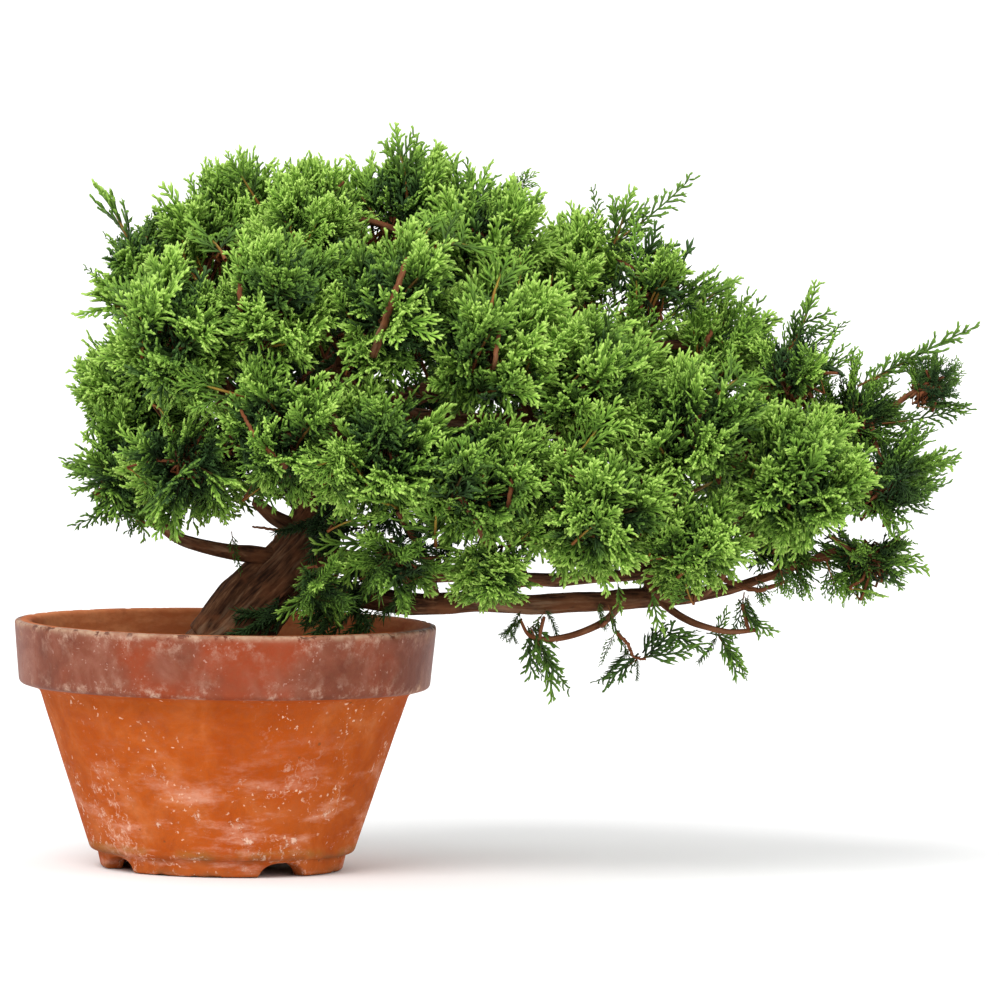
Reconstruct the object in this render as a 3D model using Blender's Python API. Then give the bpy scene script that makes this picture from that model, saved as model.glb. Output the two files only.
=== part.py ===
"""Juniper bonsai in the semi-cascade style, in a round terracotta pot.

Metres, +Z up. Everything is laid out from the pot: its axis is X = Y = 0 and the
foot ring stands on Z = 0. The long side of the crown sweeps towards +X and the
front of the tree faces -Y. The last step moves the finished model so that the
middle of its box's underside is the origin.

The pieces are the pot, the plastic net over its drain hole, the soil, the wood
(roots, trunk, limbs and twigs grown as one) and the foliage, one node for each
bough of green, which sits on its own twig with a hair of clearance.
"""
import math
import random

import bmesh
import bpy
from mathutils import Matrix, Vector

# ---------------------------------------------------------------- driving sizes
FIT_GAP = 0.0003            # what touching pieces keep between them
TURN_STEPS = 48             # steps round the pot and the soil

RIM_OUTER_RADIUS = 0.1200   # top of the glazed rim band
POT_HEIGHT = 0.1395
BAND_HEIGHT = 0.0355        # the raised band below the lip
BAND_TAPER = 0.0032         # how much narrower the band is at its foot
BAND_STEP = 0.0115          # how far the band stands out from the body
BAND_UNDERCUT = 0.0032      # height of the slope under the band
LIP_THICKNESS = 0.0088
LIP_ROUNDING = 0.0022
WALL_THICKNESS = 0.0082
BODY_FOOT_RADIUS = 0.0748   # where the body's side ends above the foot ring
BODY_FOOT_ROUNDING = 0.0030
FLOOR_THICKNESS = 0.0090
FOOT_HEIGHT = 0.0095
FOOT_OUTER_RADIUS = 0.0708
FOOT_FLARE = 0.0022         # how much narrower the ring is where it stands
FOOT_RING_WIDTH = 0.0100
FOOT_NOTCHES = 4
FOOT_NOTCH_WIDTH = 0.0290
FOOT_NOTCH_HEIGHT = 0.0078
FOOT_NOTCH_TURN = 32.0      # degrees from the front to the first notch
DRAIN_HOLE_RADIUS = 0.0125

SOIL_DEPTH_BELOW_RIM = 0.0240
SOIL_MOUND = 0.0050         # how much higher the soil is in the middle

NET_HOLES = 5               # along each side
NET_HOLE_SIZE = 0.0056
NET_BAR = 0.0020
NET_THICKNESS = 0.0012

TREE_LEAN = 1.0             # degrees that the drawn tree is turned to the left about the rim
TRUNK_RADIUS = 0.0165       # half way up the bare trunk
TWIG_BASE_RADIUS = 0.0030
TWIG_TIP_RADIUS = 0.0012
TWIG_PAST_CENTRE = 0.25     # how far a twig runs past its bough's middle, in radii
TWIG_RISE = 0.10            # how much a twig arches, as a share of its length

BOUGH_SPIKES = 17           # shoots that stand out of a full-size bough
SMALL_BOUGH_SPIKES = 12
SMALL_BOUGH_RADIUS = 0.0200
BOUGH_GAP = 0.0012          # air between neighbouring boughs
BOUGH_VALLEY = (0.54, 0.68) # how far the hollows and the tips of the shoots stand out, in radii
BOUGH_SPIKE = (0.96, 1.20)
POT_CLEARANCE = 0.0030      # the lowest that a bough over the pot hangs

FLOOR_TOP = FOOT_HEIGHT + FLOOR_THICKNESS
BAND_BOTTOM = POT_HEIGHT - BAND_HEIGHT
BODY_TOP = BAND_BOTTOM - BAND_UNDERCUT
BODY_TOP_RADIUS = RIM_OUTER_RADIUS - BAND_TAPER - BAND_STEP
SOIL_EDGE_HEIGHT = POT_HEIGHT - SOIL_DEPTH_BELOW_RIM
NET_SIZE = NET_HOLES * NET_HOLE_SIZE + (NET_HOLES + 1) * NET_BAR

# -------------------------------------------------------------- wood, by hand
# Each limb: the number of sides of its section, then its route from the trunk
# outwards. A point is (x, y, height, radius as a share of the trunk's). The tree is
# drawn for a rim at this height, and planted() moves it to where the rim is.
DRAWN_RIM = 0.1395
ROOT_COLLAR = DRAWN_RIM - SOIL_DEPTH_BELOW_RIM + SOIL_MOUND
LIMBS = {
    "trunk": (10, [
        (-0.016, 0.000, ROOT_COLLAR - 0.026, 1.30), (-0.007, 0.000, ROOT_COLLAR - 0.006, 1.42),
        (0.006, -0.002, ROOT_COLLAR + 0.011, 1.20), (0.020, -0.003, 0.1505, 1.06),
        (0.036, -0.002, 0.1705, 1.02), (0.050, 0.001, 0.1925, 0.95),
        (0.058, 0.006, 0.2175, 0.80), (0.064, 0.008, 0.2505, 0.58),
    ]),
    "root_left": (6, [
        (-0.006, 0.000, ROOT_COLLAR + 0.002, 0.85), (-0.030, 0.006, ROOT_COLLAR - 0.006, 0.55),
        (-0.052, 0.010, ROOT_COLLAR - 0.020, 0.30),
    ]),
    "root_front": (6, [
        (0.000, -0.002, ROOT_COLLAR + 0.002, 0.80), (-0.010, -0.026, ROOT_COLLAR - 0.006, 0.50),
        (-0.016, -0.048, ROOT_COLLAR - 0.020, 0.28),
    ]),
    "root_right": (6, [
        (0.004, 0.000, ROOT_COLLAR + 0.002, 0.80), (0.030, -0.012, ROOT_COLLAR - 0.008, 0.50),
        (0.052, -0.020, ROOT_COLLAR - 0.022, 0.28),
    ]),
    "root_back": (6, [
        (0.000, 0.002, ROOT_COLLAR + 0.002, 0.80), (0.006, 0.028, ROOT_COLLAR - 0.007, 0.50),
        (0.004, 0.050, ROOT_COLLAR - 0.021, 0.28),
    ]),
    "cascade_limb": (8, [
        (0.036, -0.004, 0.1700, 0.62), (0.060, -0.018, 0.1580, 0.48), (0.092, -0.028, 0.1505, 0.42),
        (0.126, -0.030, 0.1495, 0.40), (0.167, -0.028, 0.1490, 0.38), (0.206, -0.022, 0.1505, 0.37),
        (0.240, -0.015, 0.1550, 0.34), (0.275, -0.010, 0.1600, 0.24), (0.312, -0.006, 0.1680, 0.17),
        (0.345, -0.004, 0.1800, 0.12),
    ]),
    "upper_cascade_limb": (7, [
        (0.044, -0.006, 0.1820, 0.52), (0.074, -0.026, 0.1740, 0.40), (0.106, -0.036, 0.1685, 0.34),
        (0.150, -0.042, 0.1675, 0.28), (0.195, -0.040, 0.1655, 0.23), (0.240, -0.036, 0.1700, 0.19),
        (0.285, -0.032, 0.1850, 0.15), (0.325, -0.030, 0.2080, 0.10),
    ]),
    "knot_limb": (7, [
        (0.238, -0.015, 0.1550, 0.30), (0.262, -0.006, 0.1780, 0.24), (0.300, 0.002, 0.2050, 0.18),
        (0.345, 0.004, 0.2380, 0.14), (0.385, 0.003, 0.2680, 0.09),
    ]),
    "low_left_branch": (7, [
        (0.038, -0.004, 0.1760, 0.38), (0.010, -0.014, 0.1785, 0.28), (-0.025, -0.020, 0.1880, 0.21),
        (-0.046, -0.018, 0.2060, 0.16), (-0.058, -0.012, 0.2280, 0.10),
    ]),
    "left_limb": (7, [
        (0.052, 0.003, 0.2000, 0.58), (0.026, 0.008, 0.2420, 0.38), (-0.008, 0.008, 0.2820, 0.26),
        (-0.030, 0.004, 0.3220, 0.15),
    ]),
    "leader": (7, [
        (0.060, 0.008, 0.2480, 0.54), (0.080, 0.010, 0.2900, 0.38), (0.098, 0.004, 0.3300, 0.26),
        (0.104, 0.000, 0.3600, 0.14),
    ]),
    "right_limb": (7, [
        (0.056, 0.008, 0.2360, 0.50), (0.100, 0.010, 0.2640, 0.38), (0.155, 0.012, 0.2820, 0.30),
        (0.215, 0.008, 0.2950, 0.22), (0.262, 0.002, 0.2960, 0.15),
    ]),
    "front_limb": (7, [
        (0.058, 0.004, 0.2180, 0.40), (0.054, -0.030, 0.2450, 0.30), (0.062, -0.058, 0.2760, 0.20),
        (0.066, -0.072, 0.2980, 0.12),
    ]),
    "front_right_limb": (7, [
        (0.088, 0.006, 0.2560, 0.30), (0.125, -0.030, 0.2560, 0.24), (0.175, -0.058, 0.2560, 0.18),
        (0.235, -0.062, 0.2480, 0.11),
    ]),
    "back_limb": (7, [
        (0.058, 0.008, 0.2160, 0.40), (0.060, 0.040, 0.2500, 0.30), (0.074, 0.072, 0.2860, 0.20),
        (0.084, 0.082, 0.3080, 0.12),
    ]),
    "back_right_limb": (7, [
        (0.094, 0.012, 0.2580, 0.30), (0.136, 0.044, 0.2520, 0.24), (0.185, 0.070, 0.2480, 0.18),
        (0.240, 0.066, 0.2380, 0.11),
    ]),
    "back_left_limb": (7, [
        (0.052, 0.004, 0.1960, 0.36), (0.026, 0.036, 0.2260, 0.27), (-0.004, 0.058, 0.2600, 0.18),
        (-0.012, 0.066, 0.2860, 0.11),
    ]),
    "lower_twig": (6, [
        (0.225, -0.018, 0.1520, 0.14), (0.212, -0.034, 0.1400, 0.12), (0.186, -0.038, 0.1320, 0.10),
        (0.172, -0.038, 0.1310, 0.08),
    ]),
    "knot_twig": (6, [
        (0.245, -0.016, 0.1540, 0.16), (0.258, -0.028, 0.1440, 0.13), (0.280, -0.032, 0.1360, 0.10),
        (0.300, -0.030, 0.1370, 0.08),
    ]),
    "dead_stub": (6, [
        (0.050, 0.001, 0.1900, 0.34), (0.032, -0.006, 0.1980, 0.27), (0.017, -0.008, 0.2090, 0.20),
    ]),
}
NO_TWIGS_ON = {"trunk", "root_left", "root_front", "root_right", "root_back", "dead_stub"}

# ----------------------------------------------------------- foliage, by hand
# Each bough: its middle, its radius, and the way its shoots sweep. A bough may
# end in one long leader shoot, whose tip is the last entry. Points are drawn as
# the wood's are.
SWEEP_LEFT = (-0.60, -0.10, 0.55)
SWEEP_UP = (0.15, 0.00, 1.00)
SWEEP_RIGHT = (0.90, 0.00, 0.42)
SWEEP_FRONT = (0.35, -0.85, 0.30)
SWEEP_BACK = (0.35, 0.85, 0.30)
SWEEP_DOWN = (0.35, -0.15, -0.90)
BOUGHS = {
    "left_1": ((-0.053, -0.012, 0.228), 0.035, SWEEP_LEFT, None),
    "left_2": ((-0.044, 0.010, 0.276), 0.041, SWEEP_LEFT, None),
    "left_3": ((-0.040, 0.000, 0.332), 0.041, SWEEP_LEFT, (-0.068, -0.006, 0.391)),
    "top_1": ((0.000, 0.014, 0.360), 0.041, SWEEP_UP, (0.002, 0.006, 0.406)),
    "top_2": ((0.050, -0.016, 0.362), 0.041, SWEEP_UP, (0.062, -0.006, 0.408)),
    "top_3": ((0.100, 0.014, 0.368), 0.043, SWEEP_UP, (0.096, -0.004, 0.423)),
    "top_4": ((0.148, -0.014, 0.352), 0.042, SWEEP_UP, (0.140, -0.004, 0.402)),
    "top_5": ((0.192, 0.012, 0.332), 0.038, SWEEP_RIGHT, None),
    "shoulder_1": ((0.233, -0.010, 0.320), 0.036, SWEEP_RIGHT, (0.272, -0.010, 0.383)),
    "shoulder_2": ((0.276, 0.012, 0.296), 0.034, SWEEP_RIGHT, None),
    "shoulder_3": ((0.318, -0.010, 0.276), 0.033, SWEEP_RIGHT, (0.342, -0.004, 0.327)),
    "tip_1": ((0.358, 0.008, 0.258), 0.032, SWEEP_RIGHT, None),
    "tip_2": ((0.393, 0.000, 0.276), 0.024, SWEEP_RIGHT, (0.430, -0.004, 0.301)),
    "tip_3": ((0.372, -0.012, 0.222), 0.033, SWEEP_RIGHT, None),
    "tip_4": ((0.362, -0.002, 0.182), 0.028, SWEEP_RIGHT, None),
    "tip_5": ((0.318, 0.004, 0.188), 0.026, SWEEP_RIGHT, None),
    "front_1": ((-0.018, -0.068, 0.303), 0.045, SWEEP_FRONT, None),
    "front_2": ((-0.014, -0.062, 0.238), 0.041, SWEEP_FRONT, None),
    "front_3": ((0.036, -0.084, 0.324), 0.043, SWEEP_FRONT, None),
    "front_4": ((0.038, -0.088, 0.258), 0.043, SWEEP_FRONT, None),
    "front_5": ((0.094, -0.084, 0.318), 0.045, SWEEP_FRONT, None),
    "front_6": ((0.092, -0.098, 0.244), 0.043, SWEEP_FRONT, None),
    "front_7": ((0.150, -0.082, 0.298), 0.043, SWEEP_FRONT, None),
    "front_8": ((0.146, -0.096, 0.226), 0.042, SWEEP_FRONT, None),
    "front_9": ((0.204, -0.074, 0.278), 0.043, SWEEP_FRONT, None),
    "front_10": ((0.204, -0.086, 0.212), 0.042, SWEEP_FRONT, None),
    "front_11": ((0.260, -0.066, 0.250), 0.041, SWEEP_FRONT, None),
    "front_12": ((0.264, -0.062, 0.194), 0.034, SWEEP_FRONT, None),
    "front_13": ((0.318, -0.052, 0.224), 0.038, SWEEP_FRONT, None),
    "skirt_1": ((0.058, -0.068, 0.168), 0.022, SWEEP_FRONT, None),
    "skirt_2": ((0.098, -0.078, 0.184), 0.029, SWEEP_FRONT, None),
    "skirt_3": ((0.152, -0.078, 0.178), 0.026, SWEEP_FRONT, None),
    "back_1": ((-0.014, 0.072, 0.302), 0.046, SWEEP_BACK, None),
    "back_2": ((-0.006, 0.066, 0.234), 0.043, SWEEP_BACK, None),
    "back_3": ((0.044, 0.086, 0.330), 0.045, SWEEP_BACK, None),
    "back_4": ((0.048, 0.092, 0.262), 0.045, SWEEP_BACK, None),
    "back_5": ((0.108, 0.082, 0.322), 0.046, SWEEP_BACK, None),
    "back_6": ((0.112, 0.096, 0.248), 0.046, SWEEP_BACK, None),
    "back_7": ((0.170, 0.080, 0.298), 0.044, SWEEP_BACK, None),
    "back_8": ((0.178, 0.088, 0.222), 0.044, SWEEP_BACK, None),
    "back_9": ((0.234, 0.068, 0.264), 0.042, SWEEP_BACK, None),
    "back_10": ((0.242, 0.068, 0.200), 0.037, SWEEP_BACK, None),
    "back_11": ((0.298, 0.052, 0.236), 0.041, SWEEP_BACK, None),
    "inner_1": ((0.012, 0.000, 0.292), 0.036, SWEEP_UP, None),
    "inner_2": ((0.074, -0.004, 0.302), 0.036, SWEEP_UP, None),
    "inner_3": ((0.134, 0.000, 0.292), 0.036, SWEEP_UP, None),
    "inner_4": ((0.190, 0.000, 0.266), 0.036, SWEEP_RIGHT, None),
    "inner_5": ((0.246, 0.000, 0.240), 0.034, SWEEP_RIGHT, None),
    "inner_6": ((0.120, 0.004, 0.216), 0.032, SWEEP_UP, None),
    "hanging_1": ((0.181, -0.037, 0.120), 0.013, SWEEP_DOWN, (0.188, -0.040, 0.100)),
    "hanging_2": ((0.214, -0.038, 0.124), 0.012, SWEEP_DOWN, (0.218, -0.042, 0.103)),
    "hanging_3": ((0.294, -0.030, 0.124), 0.014, SWEEP_DOWN, (0.293, -0.032, 0.108)),
}

# ------------------------------------------------------------------- materials
# name: colour, roughness
FINISHES = {
    "terracotta": ((0.56, 0.19, 0.06), 0.85),
    "bark": ((0.13, 0.06, 0.035), 0.95),
    "juniper_foliage": ((0.08, 0.22, 0.04), 0.60),
    "soil": ((0.07, 0.045, 0.03), 1.00),
    "net_plastic": ((0.02, 0.02, 0.02), 0.55),
}


# --------------------------------------------------------------------- helpers
def clear_scene():
    for old in list(bpy.data.objects):
        bpy.data.objects.remove(old, do_unlink=True)


def finish(name):
    """The material of that name, made on its first use."""
    found = bpy.data.materials.get(name)
    if found:
        return found
    colour, roughness = FINISHES[name]
    made = bpy.data.materials.new(name)
    made.use_nodes = True
    shader = made.node_tree.nodes["Principled BSDF"]
    shader.inputs["Base Color"].default_value = (*colour, 1.0)
    shader.inputs["Roughness"].default_value = roughness
    shader.inputs["Metallic"].default_value = 0.0
    made.diffuse_color = (*colour, 1.0)
    return made


def add_object(name, bm, material=None, collection=None):
    bmesh.ops.recalc_face_normals(bm, faces=bm.faces)
    mesh = bpy.data.meshes.new(name)
    bm.to_mesh(mesh)
    bm.free()
    made = bpy.data.objects.new(name, mesh)
    (collection or bpy.context.scene.collection).objects.link(made)
    if material:
        mesh.materials.append(finish(material))
    return made


def as_cutter(cutter):
    cutter.hide_render = True
    cutter.display_type = "WIRE"
    return cutter


def boolean(target, operation, cutter=None, cutters=None):
    made = target.modifiers.new("boolean", "BOOLEAN")
    made.operation = operation
    made.solver = "EXACT"
    if cutters:
        made.operand_type = "COLLECTION"
        made.collection = cutters
    else:
        made.object = cutter
    return made


def new_collection(name):
    made = bpy.data.collections.new(name)
    bpy.context.scene.collection.children.link(made)
    return made


def turned(name, outline, material):
    """A solid of revolution. The outline's points are (radius, height). It is
    closed on itself, or it starts and ends on the axis."""
    bm = bmesh.new()
    rim = [bm.verts.new((r, 0.0, z)) for r, z in outline]
    edges = [bm.edges.new(pair) for pair in zip(rim, rim[1:])]
    if outline[0][0] > 0:
        edges.append(bm.edges.new((rim[-1], rim[0])))
    bmesh.ops.spin(bm, geom=rim + edges, cent=(0, 0, 0), axis=(0, 0, 1),
                   angle=2 * math.pi, steps=TURN_STEPS, use_merge=True)
    bmesh.ops.remove_doubles(bm, verts=bm.verts, dist=1e-6)
    made = add_object(name, bm, material)
    made.data.shade_smooth()
    made.data.set_sharp_from_angle(angle=math.radians(40))
    return made


def rounded(corner, before, after, radius, steps=2):
    """Points of a quarter-like bend at a corner between its two neighbours."""
    corner, before, after = Vector(corner), Vector(before), Vector(after)
    start = corner + (before - corner).normalized() * radius
    end = corner + (after - corner).normalized() * radius
    points = []
    for step in range(steps + 1):
        t = step / steps
        point = start.lerp(corner, t).lerp(corner.lerp(end, t), t)
        points.append((point.x, point.y))
    return points


def smooth_route(points, per_span):
    """Points on a Catmull-Rom curve through the given ones."""
    points = [Vector(p) for p in points]
    ends = [2 * points[0] - points[1], *points, 2 * points[-1] - points[-2]]
    found = []
    for index in range(len(points) - 1):
        a, b, c, d = ends[index:index + 4]
        for step in range(per_span):
            t = step / per_span
            found.append(0.5 * (2 * b + (c - a) * t + (2 * a - 5 * b + 4 * c - d) * t ** 2
                                + (3 * b - a - 3 * c + d) * t ** 3))
    found.append(points[-1])
    return found


def tube(name, route, radii, sides, grow=0.0, material=None, collection=None):
    """A round limb along a route, with domed ends, swollen all over by grow."""
    bm = bmesh.new()
    rings = []
    side = None
    last = len(route) - 1
    for index, point in enumerate(route):
        ahead = (route[min(index + 1, last)] - route[max(index - 1, 0)]).normalized()
        if side is None:
            side = ahead.orthogonal()
        side = (side - ahead * side.dot(ahead)).normalized()
        up = ahead.cross(side)
        radius = radii[index] + grow
        rings.append([
            bm.verts.new(point + radius * (math.cos(turn) * side + math.sin(turn) * up))
            for turn in (2 * math.pi * k / sides for k in range(sides))
        ])
    for low, high in zip(rings, rings[1:]):
        for k in range(sides):
            bm.faces.new((low[k], low[(k + 1) % sides], high[(k + 1) % sides], high[k]))
    for ring, point, beyond, radius in (
        (rings[0], route[0], route[0] - route[1], radii[0]),
        (rings[-1], route[-1], route[-1] - route[-2], radii[-1]),
    ):
        pole = bm.verts.new(point + beyond.normalized() * (0.6 * radius + grow))
        for k in range(sides):
            bm.faces.new((ring[k], ring[(k + 1) % sides], pole))
    return add_object(name, bm, material, collection)


# ------------------------------------------------------------------ the pot
def body_radius(height, inset=0.0):
    """The radius of the body's straight side at a height, less an inset."""
    share = (height - FOOT_HEIGHT) / (BODY_TOP - FOOT_HEIGHT)
    return BODY_FOOT_RADIUS + share * (BODY_TOP_RADIUS - BODY_FOOT_RADIUS) - inset


def inner_wall(inset=0.0):
    """The inside of the pot from the lip to the floor, less an inset."""
    return [
        (RIM_OUTER_RADIUS - LIP_THICKNESS - inset, POT_HEIGHT),
        (body_radius(BODY_TOP, WALL_THICKNESS) - inset, BODY_TOP - WALL_THICKNESS),
        (body_radius(FLOOR_TOP, WALL_THICKNESS) - inset, FLOOR_TOP),
    ]


def inner_radius(height, inset=0.0):
    """The radius of the inner wall at a height."""
    wall = inner_wall(inset)
    for (upper_r, upper_z), (lower_r, lower_z) in zip(wall, wall[1:]):
        if height >= lower_z:
            share = (height - lower_z) / (upper_z - lower_z)
            return lower_r + share * (upper_r - lower_r)
    return wall[-1][0]


def make_pot():
    lip_outer = (RIM_OUTER_RADIUS, POT_HEIGHT)
    band_foot = (RIM_OUTER_RADIUS - BAND_TAPER, BAND_BOTTOM)
    body_top = (BODY_TOP_RADIUS, BODY_TOP)
    body_foot = (BODY_FOOT_RADIUS, FOOT_HEIGHT)
    foot_top = (FOOT_OUTER_RADIUS, FOOT_HEIGHT)
    foot_bottom = (FOOT_OUTER_RADIUS - FOOT_FLARE, 0.0)
    foot_inner = (FOOT_OUTER_RADIUS - FOOT_FLARE - FOOT_RING_WIDTH, 0.0)
    wall = inner_wall()
    lip_inner = wall[0]
    outline = [
        foot_bottom,
        foot_top,
        *rounded(body_foot, foot_top, body_top, BODY_FOOT_ROUNDING),
        body_top,
        *rounded(band_foot, body_top, lip_outer, LIP_ROUNDING),
        *rounded(lip_outer, band_foot, lip_inner, LIP_ROUNDING),
        *rounded(lip_inner, lip_outer, wall[1], LIP_ROUNDING),
        wall[1],
        *rounded(wall[2], wall[1], (0.0, FLOOR_TOP), FLOOR_THICKNESS / 2),
        (DRAIN_HOLE_RADIUS, FLOOR_TOP),
        (DRAIN_HOLE_RADIUS, FOOT_HEIGHT),
        (foot_inner[0], FOOT_HEIGHT),
        foot_inner,
    ]
    pot = turned("pot", outline, "terracotta")
    for index in range(FOOT_NOTCHES):
        turn = math.radians(FOOT_NOTCH_TURN + index * 360 / FOOT_NOTCHES - 90)
        boolean(pot, "DIFFERENCE", foot_notch(index, turn))
    return pot


def foot_notch(index, turn):
    """An arch that runs right through the foot ring at one place."""
    steps = 8
    foot_middle = FOOT_OUTER_RADIUS - FOOT_RING_WIDTH / 2
    reach = FOOT_RING_WIDTH * 1.4
    bm = bmesh.new()
    arch = []
    for step in range(steps + 1):
        angle = math.pi * step / steps
        arch.append((math.cos(angle) * FOOT_NOTCH_WIDTH / 2,
                     math.sin(angle) * FOOT_NOTCH_HEIGHT))
    arch[0] = (FOOT_NOTCH_WIDTH / 2, -0.001)
    arch[-1] = (-FOOT_NOTCH_WIDTH / 2, -0.001)
    near = [bm.verts.new((foot_middle - reach, y, z)) for y, z in arch]
    face = bm.faces.new(near)
    grown = bmesh.ops.extrude_face_region(bm, geom=[face])
    far = [v for v in grown["geom"] if isinstance(v, bmesh.types.BMVert)]
    bmesh.ops.translate(bm, verts=far, vec=(2 * reach, 0, 0))
    cutter = as_cutter(add_object(f"foot_notch_{index + 1}", bm))
    cutter.rotation_euler = (0, 0, turn)
    return cutter


# ------------------------------------------------------------------- the net
def make_net():
    """A square plastic net that lies on the floor over the drain hole."""
    cells = 2 * NET_HOLES + 1
    lines = [-NET_SIZE / 2]
    for cell in range(cells):
        lines.append(lines[-1] + (NET_HOLE_SIZE if cell % 2 else NET_BAR))
    bm = bmesh.new()
    grid = [[bm.verts.new((x, y, 0.0)) for x in lines] for y in lines]
    for row in range(cells):
        for column in range(cells):
            if row % 2 and column % 2:
                continue
            bm.faces.new((grid[row][column], grid[row][column + 1],
                          grid[row + 1][column + 1], grid[row + 1][column]))
    grown = bmesh.ops.extrude_face_region(bm, geom=list(bm.faces))
    upper = [v for v in grown["geom"] if isinstance(v, bmesh.types.BMVert)]
    bmesh.ops.translate(bm, verts=upper, vec=(0, 0, NET_THICKNESS))
    net = add_object("drainage_net", bm, "net_plastic")
    net.location.z = FLOOR_TOP + FIT_GAP
    return net


# ------------------------------------------------------------------- the wood
def planted(point):
    """Where a drawn point of the tree is once it leans and stands at the rim."""
    lean = math.radians(TREE_LEAN)
    x, y, z = point
    height = z - DRAWN_RIM
    return Vector((x * math.cos(lean) - height * math.sin(lean), y,
                   POT_HEIGHT + height * math.cos(lean) + x * math.sin(lean)))


def limb_samples():
    """Each limb's smooth route and radii, by name."""
    found = {}
    for name, (sides, points) in LIMBS.items():
        spans = 2
        route = smooth_route([planted(p[:3]) for p in points], spans)
        widths = smooth_route([(p[3] * TRUNK_RADIUS, 0, 0) for p in points], spans)
        found[name] = (route, [w.x for w in widths], sides)
    return found


def twig_samples(limbs):
    """A twig to the middle of each bough, from the nearest limb."""
    found = {}
    for name, (middle, radius, sweep, _) in BOUGHS.items():
        middle = planted(middle)
        carriers = [
            (point, width)
            for limb, (route, radii, _) in limbs.items() if limb not in NO_TWIGS_ON
            for point, width in list(zip(route, radii))[2:]
        ]
        start, width = min(carriers, key=lambda c: (c[0] - middle).length)
        if (middle - start).length < 0.3 * radius:
            continue
        along = middle - start
        end = middle + along.normalized() * radius * TWIG_PAST_CENTRE
        bend = start.lerp(end, 0.5) + Vector((0, 0, TWIG_RISE * along.length))
        route = [start, bend, end]
        base = min(TWIG_BASE_RADIUS, 0.9 * width)
        tip = min(TWIG_TIP_RADIUS, 0.7 * base)
        radii = [base + (tip - base) * k / (len(route) - 1) for k in range(len(route))]
        found[f"twig_{name}"] = (route, radii, 5)
    return found


def make_wood(samples, clearance):
    """Joins the trunk, roots, limbs and twigs, and fills the clearance collection
    with the same pieces, larger by the fit gap."""
    members = new_collection("limbs")
    for name, (route, radii, sides) in samples.items():
        if name != "trunk":
            as_cutter(tube(name, route, radii, sides, collection=members))
        as_cutter(tube(f"{name}_clearance", route, radii, sides, FIT_GAP, None, clearance))
    route, radii, sides = samples["trunk"]
    wood = tube("trunk_and_limbs", route, radii, sides, material="bark")
    boolean(wood, "UNION", cutters=members)
    return wood


# ------------------------------------------------------------------- the soil
def make_soil(wood_clearance):
    """Soil that fills the pot, with room for the roots and the net."""
    wall = inner_wall(FIT_GAP)
    edge = (inner_radius(SOIL_EDGE_HEIGHT, FIT_GAP), SOIL_EDGE_HEIGHT)
    bottom = FLOOR_TOP + FIT_GAP
    mound = [
        (edge[0] * share, SOIL_EDGE_HEIGHT + SOIL_MOUND * math.cos(share * math.pi / 2))
        for share in (0.0, 0.25, 0.5, 0.75)
    ]
    below = [point for point in wall[1:-1] if point[1] < SOIL_EDGE_HEIGHT]
    base = (wall[-1][0], bottom)
    outline = [
        *mound,
        edge,
        *below,
        *rounded(base, below[-1], (0.0, bottom), FLOOR_THICKNESS / 2),
        (0.0, bottom),
    ]
    soil = turned("soil", outline, "soil")
    bm = bmesh.new()
    bmesh.ops.create_cube(bm, size=1.0)
    room = as_cutter(add_object("net_room", bm))
    side = NET_SIZE + 2 * FIT_GAP
    room.scale = (side, side, 2 * (NET_THICKNESS + 2 * FIT_GAP))
    room.location.z = FLOOR_TOP
    boolean(soil, "DIFFERENCE", room)
    boolean(soil, "DIFFERENCE", cutters=wood_clearance)
    return soil


# ----------------------------------------------------------------- the foliage
def even_directions(count, turn):
    """Directions spread evenly over a sphere, turned by an angle."""
    golden = math.pi * (3 - math.sqrt(5))
    found = []
    for index in range(count):
        z = 1 - (2 * index + 1) / count
        ring = math.sqrt(1 - z * z)
        angle = golden * index + turn
        found.append(Vector((ring * math.cos(angle), ring * math.sin(angle), z)))
    return found


def walls_of(name):
    """The planes that a bough stays behind, as (direction, distance from its
    middle). Each neighbour gets one, so no two boughs meet."""
    middle, radius, _, _ = BOUGHS[name]
    middle = planted(middle)
    found = []
    for other, (other_middle, other_radius, _, _) in BOUGHS.items():
        if other == name:
            continue
        towards = planted(other_middle) - middle
        apart = towards.length
        share = apart * radius / (radius + other_radius)
        found.append((towards.normalized(), share - BOUGH_GAP / 2))
    over_pot = middle.to_2d().length < RIM_OUTER_RADIUS + radius
    if over_pot:
        found.append((Vector((0, 0, -1)), middle.z - POT_HEIGHT - POT_CLEARANCE))
    return found


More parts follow.
